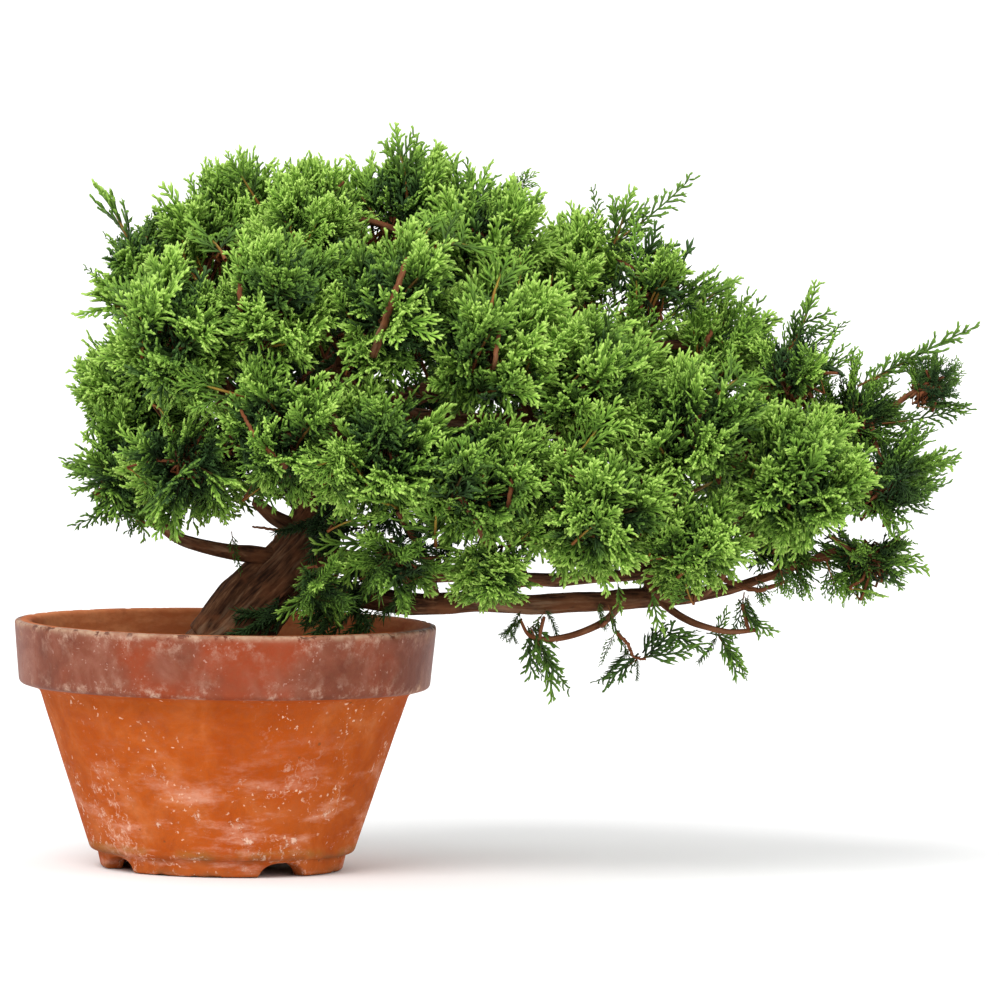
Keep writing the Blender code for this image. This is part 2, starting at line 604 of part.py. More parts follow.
def shoot_star(name, rng):
    """A star of shoots round a bough's middle, kept behind the bough's walls."""
    middle, radius, sweep, leader = BOUGHS[name]
    middle = planted(middle)
    sweep = Vector(sweep).normalized()
    spikes = BOUGH_SPIKES if radius > SMALL_BOUGH_RADIUS else SMALL_BOUGH_SPIKES
    bm = bmesh.new()
    for direction in even_directions(spikes, rng.uniform(0, 2 * math.pi)):
        bm.verts.new(direction)
    bmesh.ops.convex_hull(bm, input=bm.verts)
    bmesh.ops.triangulate(bm, faces=bm.faces)
    bmesh.ops.subdivide_edges(bm, edges=bm.edges, cuts=1, use_grid_fill=True)
    outer = {vert for vert in bm.verts if vert.co.length > 0.999}
    walls = walls_of(name)
    reach = {}
    for vert in bm.verts:
        low, high = BOUGH_SPIKE if vert in outer else BOUGH_VALLEY
        direction = vert.co.normalized()
        offset = direction * radius * rng.uniform(low, high)
        if vert in outer:
            offset += sweep * radius * 0.30 * max(0.0, direction.dot(sweep))
        reach[vert] = offset
    if leader:
        goal = planted(leader) - middle
        nearest = max(outer, key=lambda v: v.co.normalized().dot(goal.normalized()))
        reach[nearest] = goal
    for vert, offset in reach.items():
        for direction, distance in walls:
            beyond = offset.dot(direction)
            if beyond > distance:
                offset = offset * (distance / beyond)
        vert.co = middle + offset
    return bm


def keep_largest(mesh):
    """Deletes the crumbs that a cut may leave beside the main piece."""
    bm = bmesh.new()
    bm.from_mesh(mesh)
    left = set(bm.verts)
    groups = []
    while left:
        group = {left.pop()}
        edge = list(group)
        while edge:
            vert = edge.pop()
            near = {e.other_vert(vert) for e in vert.link_edges} & left
            left -= near
            group |= near
            edge.extend(near)
        groups.append(group)
    main = max(groups, key=len)
    spare = [v for group in groups if group is not main for v in group]
    bmesh.ops.delete(bm, geom=spare, context="VERTS")
    bm.to_mesh(mesh)
    bm.free()


def make_foliage(wood_clearance):
    rng = random.Random(7)
    boughs = []
    for name in BOUGHS:
        bough = add_object(f"foliage_{name}", shoot_star(name, rng), "juniper_foliage")
        boolean(bough, "DIFFERENCE", cutters=wood_clearance)
        boughs.append(bough)
    scene_state = bpy.context.evaluated_depsgraph_get()
    for bough in boughs:
        cut = bpy.data.meshes.new_from_object(bough.evaluated_get(scene_state))
        bough.modifiers.clear()
        bough.data = cut
        keep_largest(cut)
    return boughs


# ---------------------------------------------------------------- the assembly
def corners(nodes):
    """The lowest and highest corners of the evaluated nodes."""
    scene_state = bpy.context.evaluated_depsgraph_get()
    low = Vector((math.inf,) * 3)
    high = Vector((-math.inf,) * 3)
    for node in nodes:
        shown = node.evaluated_get(scene_state)
        for vert in shown.data.vertices:
            place = shown.matrix_world @ vert.co
            low = Vector(map(min, low, place))
            high = Vector(map(max, high, place))
    return low, high


def main():
    clear_scene()
    clearance = new_collection("wood_clearance")
    limbs = limb_samples()
    samples = {**limbs, **twig_samples(limbs)}
    pot = make_pot()
    net = make_net()
    wood = make_wood(samples, clearance)
    soil = make_soil(clearance)
    boughs = make_foliage(clearance)
    bpy.context.view_layer.update()
    low, high = corners([pot, net, wood, soil, *boughs])
    shift = Vector(((low.x + high.x) / 2, (low.y + high.y) / 2, low.z))
    for moved in bpy.data.objects:
        moved.matrix_world = Matrix.Translation(-shift) @ moved.matrix_world


main()
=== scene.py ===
"""Looks of the potted juniper bonsai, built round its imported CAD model.

Metres, +Z up, the front of the tree faces -Y. The pot, the soil, the wood and the
foliage are fine meshes that stand for the CAD nodes. The net keeps its CAD shape.
"""
import math

import bpy
import numpy as np
from mathutils import Matrix, Vector, noise


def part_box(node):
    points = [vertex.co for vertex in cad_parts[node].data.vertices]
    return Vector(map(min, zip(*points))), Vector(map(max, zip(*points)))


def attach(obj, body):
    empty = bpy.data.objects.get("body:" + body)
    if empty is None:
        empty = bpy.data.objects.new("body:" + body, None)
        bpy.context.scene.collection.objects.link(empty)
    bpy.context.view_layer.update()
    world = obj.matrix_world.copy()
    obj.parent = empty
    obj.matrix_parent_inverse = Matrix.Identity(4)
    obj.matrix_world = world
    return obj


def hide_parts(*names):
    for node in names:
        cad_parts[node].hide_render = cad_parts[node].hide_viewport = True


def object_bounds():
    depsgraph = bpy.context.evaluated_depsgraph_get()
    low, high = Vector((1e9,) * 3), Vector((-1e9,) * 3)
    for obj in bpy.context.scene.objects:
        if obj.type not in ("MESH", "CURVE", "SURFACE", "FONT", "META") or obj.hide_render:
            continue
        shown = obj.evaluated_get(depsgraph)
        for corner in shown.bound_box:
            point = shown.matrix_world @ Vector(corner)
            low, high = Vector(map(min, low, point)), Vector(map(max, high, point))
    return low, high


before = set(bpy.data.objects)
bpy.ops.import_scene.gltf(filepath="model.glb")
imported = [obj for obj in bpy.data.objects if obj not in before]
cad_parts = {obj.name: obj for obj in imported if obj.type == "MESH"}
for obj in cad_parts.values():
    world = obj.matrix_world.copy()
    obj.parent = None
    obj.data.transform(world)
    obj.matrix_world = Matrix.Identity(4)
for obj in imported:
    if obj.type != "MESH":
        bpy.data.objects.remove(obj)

cad_bounds = [[float(value) for value in corner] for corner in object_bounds()]
rng = np.random.default_rng(20)

# ------------------------------------------------------------------ where it is
POT_LOW, POT_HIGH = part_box("pot")
AXIS = np.array([(POT_LOW.x + POT_HIGH.x) / 2, (POT_LOW.y + POT_HIGH.y) / 2, 0.0])
RIM_HEIGHT = POT_HIGH.z
RIM_RADIUS = (POT_HIGH.x - POT_LOW.x) / 2
RIM_MIDDLE = AXIS + [0, 0, RIM_HEIGHT]

# ------------------------------------------------------------------- the camera
ELEVATION = math.radians(3.3)
ROLL = math.radians(1.0)          # the picture's right side is this much lower
DISTANCE = 7.0
PICTURE_WIDTH = 0.567             # what the picture spans at the pot
PICTURE_MIDDLE = (0.1556, 0.0690)  # right of and above the rim's middle, in the picture


def add_camera():
    ahead = np.array([0, math.cos(ELEVATION), -math.sin(ELEVATION)])
    flat_right = np.array([1.0, 0, 0])
    flat_up = np.cross(flat_right, ahead)
    right = flat_right * math.cos(ROLL) + flat_up * math.sin(ROLL)
    up = flat_up * math.cos(ROLL) - flat_right * math.sin(ROLL)
    middle = RIM_MIDDLE + PICTURE_MIDDLE[0] * right + PICTURE_MIDDLE[1] * up
    place = middle - ahead * DISTANCE
    data = bpy.data.cameras.new("camera")
    data.sensor_width = 36.0
    data.lens = data.sensor_width * DISTANCE / PICTURE_WIDTH
    data.clip_end = 200.0
    camera = bpy.data.objects.new("camera", data)
    bpy.context.scene.collection.objects.link(camera)
    columns = (right, up, -ahead)
    camera.matrix_world = Matrix([[*(float(c[row]) for c in columns), float(place[row])]
                                  for row in range(3)] + [[0, 0, 0, 1]])
    bpy.context.scene.camera = camera


# ------------------------------------------------------------------ node graphs
class Look:
    """A Principled material whose nodes are added one call at a time."""

    def __init__(self, name, roughness=0.6, specular=0.5):
        self.material = bpy.data.materials.new(name)
        self.material.use_nodes = True
        self.tree = self.material.node_tree
        self.shader = self.tree.nodes["Principled BSDF"]
        self.shader.inputs["Roughness"].default_value = roughness
        self.shader.inputs["Specular IOR Level"].default_value = specular
        self.place = self.add("ShaderNodeTexCoord").outputs["Object"]

    def add(self, kind, **settings):
        made = self.tree.nodes.new(kind)
        for key, value in settings.items():
            setattr(made, key, value)
        return made

    def plug(self, value, socket):
        if isinstance(value, bpy.types.NodeSocket):
            self.tree.links.new(value, socket)
        elif isinstance(value, tuple) and socket.type == "RGBA":
            socket.default_value = (*value, 1.0)
        else:
            socket.default_value = value

    def attribute(self, name, output="Fac"):
        return self.add("ShaderNodeAttribute", attribute_name=name).outputs[output]

    def scaled(self, vector, size):
        node = self.add("ShaderNodeMapping")
        self.plug(vector, node.inputs["Vector"])
        node.inputs["Scale"].default_value = size
        return node.outputs["Vector"]

    def noise(self, scale, detail=4.0, rough=0.55, warp=0.0, vector=None):
        node = self.add("ShaderNodeTexNoise")
        self.plug(vector or self.place, node.inputs["Vector"])
        node.inputs["Scale"].default_value = scale
        node.inputs["Detail"].default_value = detail
        node.inputs["Roughness"].default_value = rough
        node.inputs["Distortion"].default_value = warp
        return node.outputs["Fac"]

    def spots(self, scale):
        node = self.add("ShaderNodeTexVoronoi")
        self.plug(self.place, node.inputs["Vector"])
        node.inputs["Scale"].default_value = scale
        return node.outputs["Distance"]

    def math(self, operation, first, second=0.0, clamp=False):
        node = self.add("ShaderNodeMath", operation=operation, use_clamp=clamp)
        self.plug(first, node.inputs[0])
        self.plug(second, node.inputs[1])
        return node.outputs[0]

    def times(self, first, second, clamp=False):
        return self.math("MULTIPLY", first, second, clamp)

    def span(self, value, low, high, to_low=0.0, to_high=1.0):
        node = self.add("ShaderNodeMapRange", interpolation_type="SMOOTHSTEP")
        for socket, given in zip(node.inputs, (value, low, high, to_low, to_high)):
            self.plug(given, socket)
        return node.outputs[0]

    def mix(self, factor, first, second, blend="MIX"):
        node = self.add("ShaderNodeMix", data_type="RGBA", blend_type=blend)
        self.plug(factor, node.inputs[0])
        self.plug(first, node.inputs[6])
        self.plug(second, node.inputs[7])
        return node.outputs[2]

    def over(self, under, mask, strength, colour):
        """A colour laid over another where the mask is."""
        return self.mix(self.times(mask, strength), under, colour)

    def ramp(self, factor, stops):
        node = self.add("ShaderNodeValToRGB")
        self.plug(factor, node.inputs[0])
        elements = node.color_ramp.elements
        while len(elements) < len(stops):
            elements.new(0.5)
        for element, (position, colour) in zip(elements, stops):
            element.position = position
            element.color = (*colour, 1.0)
        return node.outputs[0]

    def bump(self, height, distance, strength=1.0):
        node = self.add("ShaderNodeBump")
        self.plug(height, node.inputs["Height"])
        node.inputs["Distance"].default_value = distance
        node.inputs["Strength"].default_value = strength
        self.plug(node.outputs[0], self.shader.inputs["Normal"])

    def colour(self, value):
        self.plug(value, self.shader.inputs["Base Color"])

    def rough(self, value):
        self.plug(value, self.shader.inputs["Roughness"])


# ------------------------------------------------------------------- mesh tools
def new_piece(name, verts, corners, size, look, uv=None, values=None):
    """A mesh piece whose faces all have that many corners. uv has one row for each
    corner, and values are numbers or vectors by vertex, named."""
    mesh = bpy.data.meshes.new(name)
    verts = np.asarray(verts, np.float32)
    corners = np.asarray(corners, np.int32).ravel()
    mesh.vertices.add(len(verts))
    mesh.vertices.foreach_set("co", verts.ravel())
    mesh.loops.add(len(corners))
    mesh.loops.foreach_set("vertex_index", corners)
    mesh.polygons.add(len(corners) // size)
    mesh.polygons.foreach_set("loop_start", np.arange(0, len(corners), size, dtype=np.int32))
    if uv is not None:
        layer = mesh.uv_layers.new(name="OFBake")
        layer.uv.foreach_set("vector", np.asarray(uv, np.float32).ravel())
    for key, given in (values or {}).items():
        given = np.asarray(given, np.float32)
        if given.ndim == 1:
            mesh.attributes.new(key, "FLOAT", "POINT").data.foreach_set("value", given)
        else:
            mesh.attributes.new(key, "FLOAT_VECTOR", "POINT").data.foreach_set(
                "vector", given.ravel())
    mesh.update(calc_edges=True)
    mesh.shade_smooth()
    mesh.materials.append(look.material)
    piece = bpy.data.objects.new(name, mesh)
    bpy.context.scene.collection.objects.link(piece)
    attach(piece, "root")
    return piece


def ring_quads(rows, steps, closed=False):
    """The quads between rings of that many points. The last ring may join the first."""
    row, column = np.meshgrid(np.arange(rows if closed else rows - 1), np.arange(steps),
                              indexing="ij")
    below, above, following = row * steps, (row + 1) % rows * steps, (column + 1) % steps
    quads = np.stack([below + column, below + following, above + following, above + column], -1)
    return quads.reshape(-1, 4), row, column


def halves(quads):
    """Each quad's two triangles. It works on any rows of four."""
    return np.concatenate([quads[:, [0, 1, 2]], quads[:, [0, 2, 3]]])


def lengths_along(route):
    """How far along a route each of its points is."""
    return np.concatenate([[0], np.cumsum(np.linalg.norm(np.diff(route, axis=0), axis=1))])


def one_of(pool):
    return pool[int(rng.integers(len(pool)))]


def noise_on(points, scale, shift=(0, 0, 0)):
    return np.array([noise.noise(Vector(p) * scale + Vector(shift)) for p in points])


def rugged_on(points, scale):
    return np.array([noise.fractal(Vector(p) * scale, 0.7, 2.1, 3) for p in points])


def unit(vectors):
    vectors = np.asarray(vectors, float)
    length = np.linalg.norm(vectors, axis=-1, keepdims=True)
    return vectors / np.maximum(length, 1e-9)


def smooth_route(points, per_span):
    """Points on a Catmull-Rom curve through the given ones."""
    points = np.asarray(points, float)
    ends = np.vstack([2 * points[0] - points[1], points, 2 * points[-1] - points[-2]])
    found = []
    for index in range(len(points) - 1):
        a, b, c, d = ends[index:index + 4]
        for t in np.arange(per_span) / per_span:
            found.append(0.5 * (2 * b + (c - a) * t + (2 * a - 5 * b + 4 * c - d) * t ** 2
                                + (3 * b - a - 3 * c + d) * t ** 3))
    found.append(points[-1])
    return np.array(found)


# ---------------------------------------------------------------------- the pot
POT_STEPS = 440
BAND_HEIGHT = 0.0355
BAND_TAPER = 0.0032
BAND_STEP = 0.0115
BAND_UNDERCUT = 0.0032
LIP_THICKNESS = 0.0088
WALL_THICKNESS = 0.0082
BODY_FOOT_RADIUS = 0.0748
FLOOR_THICKNESS = 0.0090
FOOT_HEIGHT = 0.0095
FOOT_RADIUS = 0.0708
FOOT_FLARE = 0.0022
FOOT_RING_WIDTH = 0.0100
NOTCH_WIDTH = 0.0290
NOTCH_HEIGHT = 0.0078
NOTCH_TURN = 32.0
DRAIN_HOLE_RADIUS = 0.0125
FLOOR_TOP = FOOT_HEIGHT + FLOOR_THICKNESS
BAND_BOTTOM = RIM_HEIGHT - BAND_HEIGHT
BODY_TOP = BAND_BOTTOM - BAND_UNDERCUT
BODY_TOP_RADIUS = RIM_RADIUS - BAND_TAPER - BAND_STEP


def rounded_outline(points, step):
    """Points at even steps along an outline whose corners (r, z, rounding) are
    rounded."""
    found = []
    for index, (r, z, rounding) in enumerate(points):
        corner = np.array([r, z])
        if rounding == 0 or index in (0, len(points) - 1):
            found.append(corner)
            continue
        before = np.array(points[index - 1][:2])
        after = np.array(points[index + 1][:2])
        start = corner + unit(before - corner) * rounding
        end = corner + unit(after - corner) * rounding
        for t in np.linspace(0, 1, 7):
            found.append((1 - t) ** 2 * start + 2 * t * (1 - t) * corner + t ** 2 * end)
    filled = [found[0]]
    for a, b in zip(found, found[1:]):
        count = max(1, round(np.linalg.norm(b - a) / step))
        filled += [a + (b - a) * k / count for k in range(1, count + 1)]
    return np.array(filled)


def pot_look():
    look = Look("terracotta_look", roughness=0.8, specular=0.08)
    mix, span, times, cloudy = look.mix, look.span, look.times, look.noise
    band, inside, lip, height, foot, edge, lit_front = (look.attribute(name) for name in (
        "band", "inside", "lip", "height", "foot", "edge", "lit_front"))
    cloud = cloudy(38.0, 5.0, 0.6, 0.6)
    grit = cloudy(260.0, 4.0, 0.65)
    drift = cloudy(30.0, 7.0, 0.68, 0.0, look.scaled(look.place, (1.0, 1.0, 3.2)))
    body = look.ramp(cloud, [(0.30, (0.320, 0.052, 0.004)), (0.50, (0.410, 0.083, 0.010)),
                             (0.68, (0.480, 0.130, 0.034))])
    body = mix(span(cloudy(14.0, 3.0), 0.40, 0.62, 0.0, 0.8), body, (0.380, 0.062, 0.004))
    # salts that the clay has sweated out: veils low down, crusts, specks and tide lines
    low = span(height, 0.020, 0.090, 1.0, 0.06)
    veil = times(times(span(drift, 0.46, 0.72), low, True), span(grit, 0.30, 0.62, 0.45, 1.0))
    crust = times(span(cloudy(75.0, 8.0, 0.74), 0.60, 0.66), low)
    speck = times(span(cloudy(330.0, 2.0, 0.5), 0.64, 0.70), span(cloudy(36.0, 3.0), 0.46, 0.60))
    tide = look.math("ABSOLUTE", look.math("SUBTRACT", cloudy(17.0, 6.0, 0.62), 0.54))
    tide = times(times(span(tide, 0.0, 0.012, 1.0, 0.0), low), span(grit, 0.40, 0.60))
    pit = times(span(look.spots(95.0), 0.06, 0.12, 1.0, 0.0),
                span(cloudy(21.0, 2.0), 0.50, 0.58))
    for mask, strength, colour in (
            (veil, 0.75, (0.78, 0.42, 0.30)), (crust, 0.75, (0.86, 0.60, 0.46)),
            (speck, 0.70, (0.84, 0.58, 0.42)), (tide, 0.55, (0.84, 0.56, 0.42)),
            (pit, 0.65, (0.16, 0.060, 0.020))):
        body = look.over(body, mask, strength, colour)
    # the glazed band: mauve brown, with painted light that makes its front redder and lighter,
    # dust, and a painted pale highlight along its edges
    glaze = look.ramp(cloud, [(0.32, (0.135, 0.036, 0.020)), (0.50, (0.185, 0.052, 0.029)),
                              (0.68, (0.255, 0.095, 0.062))])
    lit_front = look.math("ADD", cloudy(22.0, 3.0), times(lit_front, 0.26))
    glaze = mix(span(lit_front, 0.52, 0.80, 0.0, 0.85), glaze, (0.270, 0.043, 0.012))
    # dust over the band, and a painted pale highlight along its rim and bottom edges
    dust_and_edge_highlight = times(span(cloudy(90.0, 8.0, 0.74), 0.48, 0.74),
                 look.math("ADD", times(edge, 1.1), 0.16), True)
    glaze = mix(dust_and_edge_highlight, glaze, (0.50, 0.32, 0.24))
    speck = times(span(cloudy(420.0, 2.0, 0.5), 0.64, 0.72), span(cloudy(40.0, 3.0), 0.46, 0.60))
    glaze = look.over(glaze, speck, 0.35, (0.66, 0.44, 0.36))
    # the lip is rubbed pale, and chipped down to dark and bright clay
    rub = mix(span(cloudy(70.0, 4.0, 0.7), 0.42, 0.60), (0.30, 0.150, 0.095), (0.46, 0.31, 0.21))
    rub = mix(span(cloudy(120.0, 4.0, 0.7), 0.54, 0.60), rub, (0.10, 0.040, 0.026))
    outer = look.over(mix(band, body, glaze), lip, 0.85, rub)
    within = mix(span(drift, 0.38, 0.66), (0.42, 0.110, 0.036), (0.56, 0.190, 0.075))
    within = mix(span(cloud, 0.56, 0.74), within, (0.28, 0.080, 0.030))
    colour = mix(inside, outer, within)
    # darker in patches round the foot's top and its lowest edge, and a stained line where the foot
    # meets the body
    darker_round_foot = times(foot, span(cloudy(45.0, 5.0, 0.65), 0.36, 0.62))
    colour = look.over(colour, darker_round_foot, 0.7, (0.16, 0.085, 0.035))
    seam = look.math("ABSOLUTE", look.math("SUBTRACT", height, 0.0135))
    seam = times(span(seam, 0.0, 0.004, 1.0, 0.0), span(cloud, 0.40, 0.60))
    colour = look.over(colour, seam, 0.5, (0.24, 0.120, 0.020))
    look.colour(mix(span(grit, 0.35, 0.7, 0.0, 0.18), colour, (0.20, 0.080, 0.040)))
    gloss = times(band, span(dust_and_edge_highlight, 0.0, 0.5, 1.0, 0.2))
    look.rough(span(gloss, 0.0, 1.0, 0.86, 0.44))
    relief = look.math("ADD", times(grit, 0.6), times(cloudy(900.0, 2.0, 0.6), 0.3))
    relief = look.math("ADD", relief, times(crust, 0.8))
    look.bump(look.math("SUBTRACT", relief, pit), 0.0006, 0.55)
    return look


def make_pot():
    foot_low = FOOT_RADIUS - FOOT_FLARE
    ring_inner = foot_low - FOOT_RING_WIDTH
    wall_bottom = BODY_FOOT_RADIUS + (FLOOR_TOP - FOOT_HEIGHT) / (BODY_TOP - FOOT_HEIGHT) * (
        BODY_TOP_RADIUS - BODY_FOOT_RADIUS) - WALL_THICKNESS
    hole_middle = (DRAIN_HOLE_RADIUS, FOOT_HEIGHT + 0.004, 0)
    outline = rounded_outline([
        hole_middle,
        (DRAIN_HOLE_RADIUS, FOOT_HEIGHT, 0.0010),
        (ring_inner, FOOT_HEIGHT, 0.0020),
        (ring_inner, 0.0, 0.0016),
        (foot_low, 0.0, 0.0018),
        (FOOT_RADIUS, FOOT_HEIGHT, 0.0012),
        (BODY_FOOT_RADIUS, FOOT_HEIGHT, 0.0030),
        (BODY_TOP_RADIUS, BODY_TOP, 0.0030),
        (RIM_RADIUS - BAND_TAPER, BAND_BOTTOM, 0.0026),
        (RIM_RADIUS, RIM_HEIGHT, 0.0024),
        (RIM_RADIUS - LIP_THICKNESS, RIM_HEIGHT, 0.0028),
        (BODY_TOP_RADIUS - WALL_THICKNESS, BODY_TOP - WALL_THICKNESS, 0.0060),
        (wall_bottom, FLOOR_TOP, 0.0050),
        (DRAIN_HOLE_RADIUS, FLOOR_TOP, 0.0010),
        hole_middle,
    ], 0.0016)[:-1]
    rows = len(outline)
    turn = np.arange(POT_STEPS) * 2 * math.pi / POT_STEPS
    radius = np.repeat(outline[:, 0:1], POT_STEPS, 1)
    height = np.repeat(outline[:, 1:2], POT_STEPS, 1)
    angle = np.repeat(turn[None, :], rows, 0)
    top_row = int(np.argmax(outline[:, 1] + outline[:, 0]))
    inside = np.repeat((np.arange(rows) > top_row + 3)[:, None], POT_STEPS, 1)
    under = height <= FOOT_HEIGHT + 1e-6
    # arches in the foot ring
    ring = under & (radius > ring_inner - 0.002) & (radius < FOOT_RADIUS + 1e-4)
    for index in range(4):
        middle = math.radians(NOTCH_TURN + index * 90 - 90)
        off = (angle - middle + math.pi) % (2 * math.pi) - math.pi
        across = np.abs(off) * (FOOT_RADIUS - FOOT_RING_WIDTH / 2) / (NOTCH_WIDTH / 2)
        arch = NOTCH_HEIGHT * np.clip(1 - across ** 2.6, 0, 1) ** 0.6
        height = np.where(ring, arch + height * (FOOT_HEIGHT - arch) / FOOT_HEIGHT, height)
    # hand-finished unevenness, and chips along the lip
    flat = np.stack([np.cos(angle) * radius, np.sin(angle) * radius, height], -1).reshape(-1, 3)
    wobble = noise_on(flat, 9.0).reshape(rows, -1)
    dimple = noise_on(flat, 60.0, (5, 1, 2)).reshape(rows, -1)
    nick = rugged_on(flat, 110.0).reshape(rows, -1)
    lip = np.exp(-((height - RIM_HEIGHT) / 0.0024) ** 2) * (
        radius > RIM_RADIUS - LIP_THICKNESS - 0.002)
    outer_lip = lip * np.clip((radius - (RIM_RADIUS - 0.0045)) / 0.0035, 0, 1)
    chips = np.clip(nick - 0.16, 0, 0.5) * 0.0032 * outer_lip
    shell = (radius > 0.03) & ~under
    moved = np.where(shell, 0.00035 * wobble + 0.00012 * dimple, 0.0)
    radius = radius + moved - chips - 0.0001
    height = height - chips * 0.8
    low_edge = np.exp(-(height / 0.0030) ** 2) * (radius > 0.05)
    height = height + np.clip(nick - 0.1, 0, 0.5) * 0.0012 * low_edge
    verts = np.stack([np.cos(angle) * radius + AXIS[0], np.sin(angle) * radius + AXIS[1],
                      height], -1).reshape(-1, 3)
    reach = lengths_along(np.vstack([outline, outline[:1]]))
    reach /= reach[-1]
    faces, row, column = ring_quads(rows, POT_STEPS, True)
    u0, u1, v0, v1 = column / POT_STEPS, (column + 1) / POT_STEPS, reach[row], reach[row + 1]
    uv = np.stack([u0, v0, u1, v0, u1, v1, u0, v1], -1).reshape(-1, 2)
    band = (outline[:, 1] > BAND_BOTTOM - 0.0008)[:, None] & ~inside
    edge = (np.exp(-((height - BAND_BOTTOM) / 0.006) ** 2)
            + np.exp(-((height - RIM_HEIGHT) / 0.008) ** 2))
    values = {
        "band": band, "inside": inside, "lip": lip, "edge": np.clip(edge, 0, 1),
        "height": height,
        # painted light: a stripe down the front, which faces the camera
        "lit_front": np.exp(-((np.sin(angle / 2 + math.pi / 4 - 0.04)) / 0.22) ** 2),
        "foot": (np.exp(-((height - FOOT_HEIGHT - 0.001) / 0.0022) ** 2) * 0.9
                 + np.exp(-(height / 0.0035) ** 2)),
    }
    piece = new_piece("pot_clay", verts, faces, 4, pot_look(), uv,
                      {name: value.astype(float).ravel() for name, value in values.items()})
    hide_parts("pot")


# --------------------------------------------------------------------- the wood
TRUNK_RADIUS = 0.0165
TREE_LEAN = math.radians(1.0)
DRAWN_RIM = 0.1395
BARK_LUMPS = 45.2769257           # the scale of the bark's broad unevenness
# Each limb's route in millimetres. A point is (x, y, height, radius as a share of the
# trunk's), from the pot's axis, as part.py draws it.
LIMBS = {
    "trunk": [
        (-16, 0, 94.5, 1.3), (-7, 0, 114.5, 1.42), (6, -2, 131.5, 1.2), (20, -3, 150.5, 1.06),
        (36, -2, 170.5, 1.02), (50, 1, 192.5, 0.95), (58, 6, 217.5, 0.8), (64, 8, 250.5, 0.58)],
    "root_left": [
        (-6, 0, 122.5, 0.85), (-30, 6, 114.5, 0.55), (-52, 10, 100.5, 0.3)],
    "root_front": [
        (0, -2, 122.5, 0.8), (-10, -26, 114.5, 0.5), (-16, -48, 100.5, 0.28)],
    "root_right": [
        (4, 0, 122.5, 0.8), (30, -12, 112.5, 0.5), (52, -20, 98.5, 0.28)],
    "root_back": [
        (0, 2, 122.5, 0.8), (6, 28, 113.5, 0.5), (4, 50, 99.5, 0.28)],
    "cascade_limb": [
        (36, -4, 170, 0.62), (60, -18, 159, 0.48), (92, -28, 153, 0.4), (126, -30, 152.5, 0.36),
        (167, -28, 152, 0.34), (206, -22, 152.5, 0.34), (240, -15, 153, 0.34),
        (272, -10, 156, 0.24), (308, -6, 166, 0.14), (345, -4, 180, 0.12)],
    "upper_cascade_limb": [
        (44, -6, 182, 0.52), (74, -26, 174, 0.4), (106, -36, 168.5, 0.34), (150, -42, 167.5, 0.28),
        (195, -40, 165.5, 0.23), (240, -36, 170, 0.19), (285, -32, 185, 0.15),
        (325, -30, 208, 0.1)],
    "knot_limb": [
        (238, -15, 155, 0.3), (262, -6, 178, 0.24), (300, 2, 205, 0.18), (345, 4, 238, 0.14),
        (385, 3, 268, 0.09)],
    "low_left_branch": [
        (38, -4, 176, 0.38), (10, -14, 178.5, 0.28), (-25, -20, 188, 0.21), (-46, -18, 206, 0.16),
        (-58, -12, 228, 0.1)],
    "left_limb": [
        (52, 3, 200, 0.58), (26, 8, 242, 0.38), (-8, 8, 282, 0.26), (-30, 4, 322, 0.15)],
    "leader": [
        (60, 8, 248, 0.54), (80, 10, 290, 0.38), (98, 4, 330, 0.26), (104, 0, 360, 0.14)],
    "right_limb": [
        (56, 8, 236, 0.5), (100, 10, 264, 0.38), (155, 12, 282, 0.3), (215, 8, 295, 0.22),
        (262, 2, 296, 0.15)],
    "front_limb": [
        (58, 4, 218, 0.4), (54, -30, 245, 0.3), (62, -58, 276, 0.2), (66, -72, 298, 0.12)],
    "front_right_limb": [
        (88, 6, 256, 0.3), (125, -30, 256, 0.24), (175, -58, 256, 0.18), (235, -62, 248, 0.11)],
    "back_limb": [
        (58, 8, 216, 0.4), (60, 40, 250, 0.3), (74, 72, 286, 0.2), (84, 82, 308, 0.12)],
    "back_right_limb": [
        (94, 12, 258, 0.3), (136, 44, 252, 0.24), (185, 70, 248, 0.18), (240, 66, 238, 0.11)],
    "back_left_limb": [
        (52, 4, 196, 0.36), (26, 36, 226, 0.27), (-4, 58, 260, 0.18), (-12, 66, 286, 0.11)],
    "lower_twig": [
        (225, -18, 152, 0.14), (212, -34, 140, 0.12), (186, -38, 132, 0.1),
        (172, -38, 133.5, 0.07), (166, -37, 143, 0.05)],
    "knot_twig": [
        (245, -16, 154, 0.16), (258, -28, 144, 0.13), (280, -32, 136, 0.1), (300, -30, 137, 0.08)],
    "bowl_limb": [
        (235, -16, 175, 0.17), (242, -26, 160, 0.18), (253, -32, 154, 0.18),
        (267, -34, 155.5, 0.17), (278, -34, 163, 0.15), (284, -34, 172, 0.13),
        (292, -34, 185, 0.1)],
    "trunk_ridge": [
        (-12, -6, 133, 0.56), (1, -8, 150, 0.52), (14, -8, 166, 0.46), (30, -4, 182, 0.36)],
    "dead_stub": [
        (50, 1, 190, 0.34), (32, -6, 198, 0.27), (17, -8, 209, 0.2)],
}
CARRIERS = [name for name in LIMBS if not name.startswith("root")
            and name not in ("trunk", "trunk_ridge", "bowl_limb", "dead_stub")]


def metres(point):
    """A point drawn in millimetres. Where it has no depth, it keeps None."""
    return [None if number is None else number / 1000 for number in point]


def planted(point):
    """Where a drawn point of the tree is: it leans, and stands on the pot."""
    x, y, z = point
    height = z - DRAWN_RIM
    return AXIS + [x * math.cos(TREE_LEAN) - height * math.sin(TREE_LEAN), y,
                   RIM_HEIGHT + height * math.cos(TREE_LEAN) + x * math.sin(TREE_LEAN)]


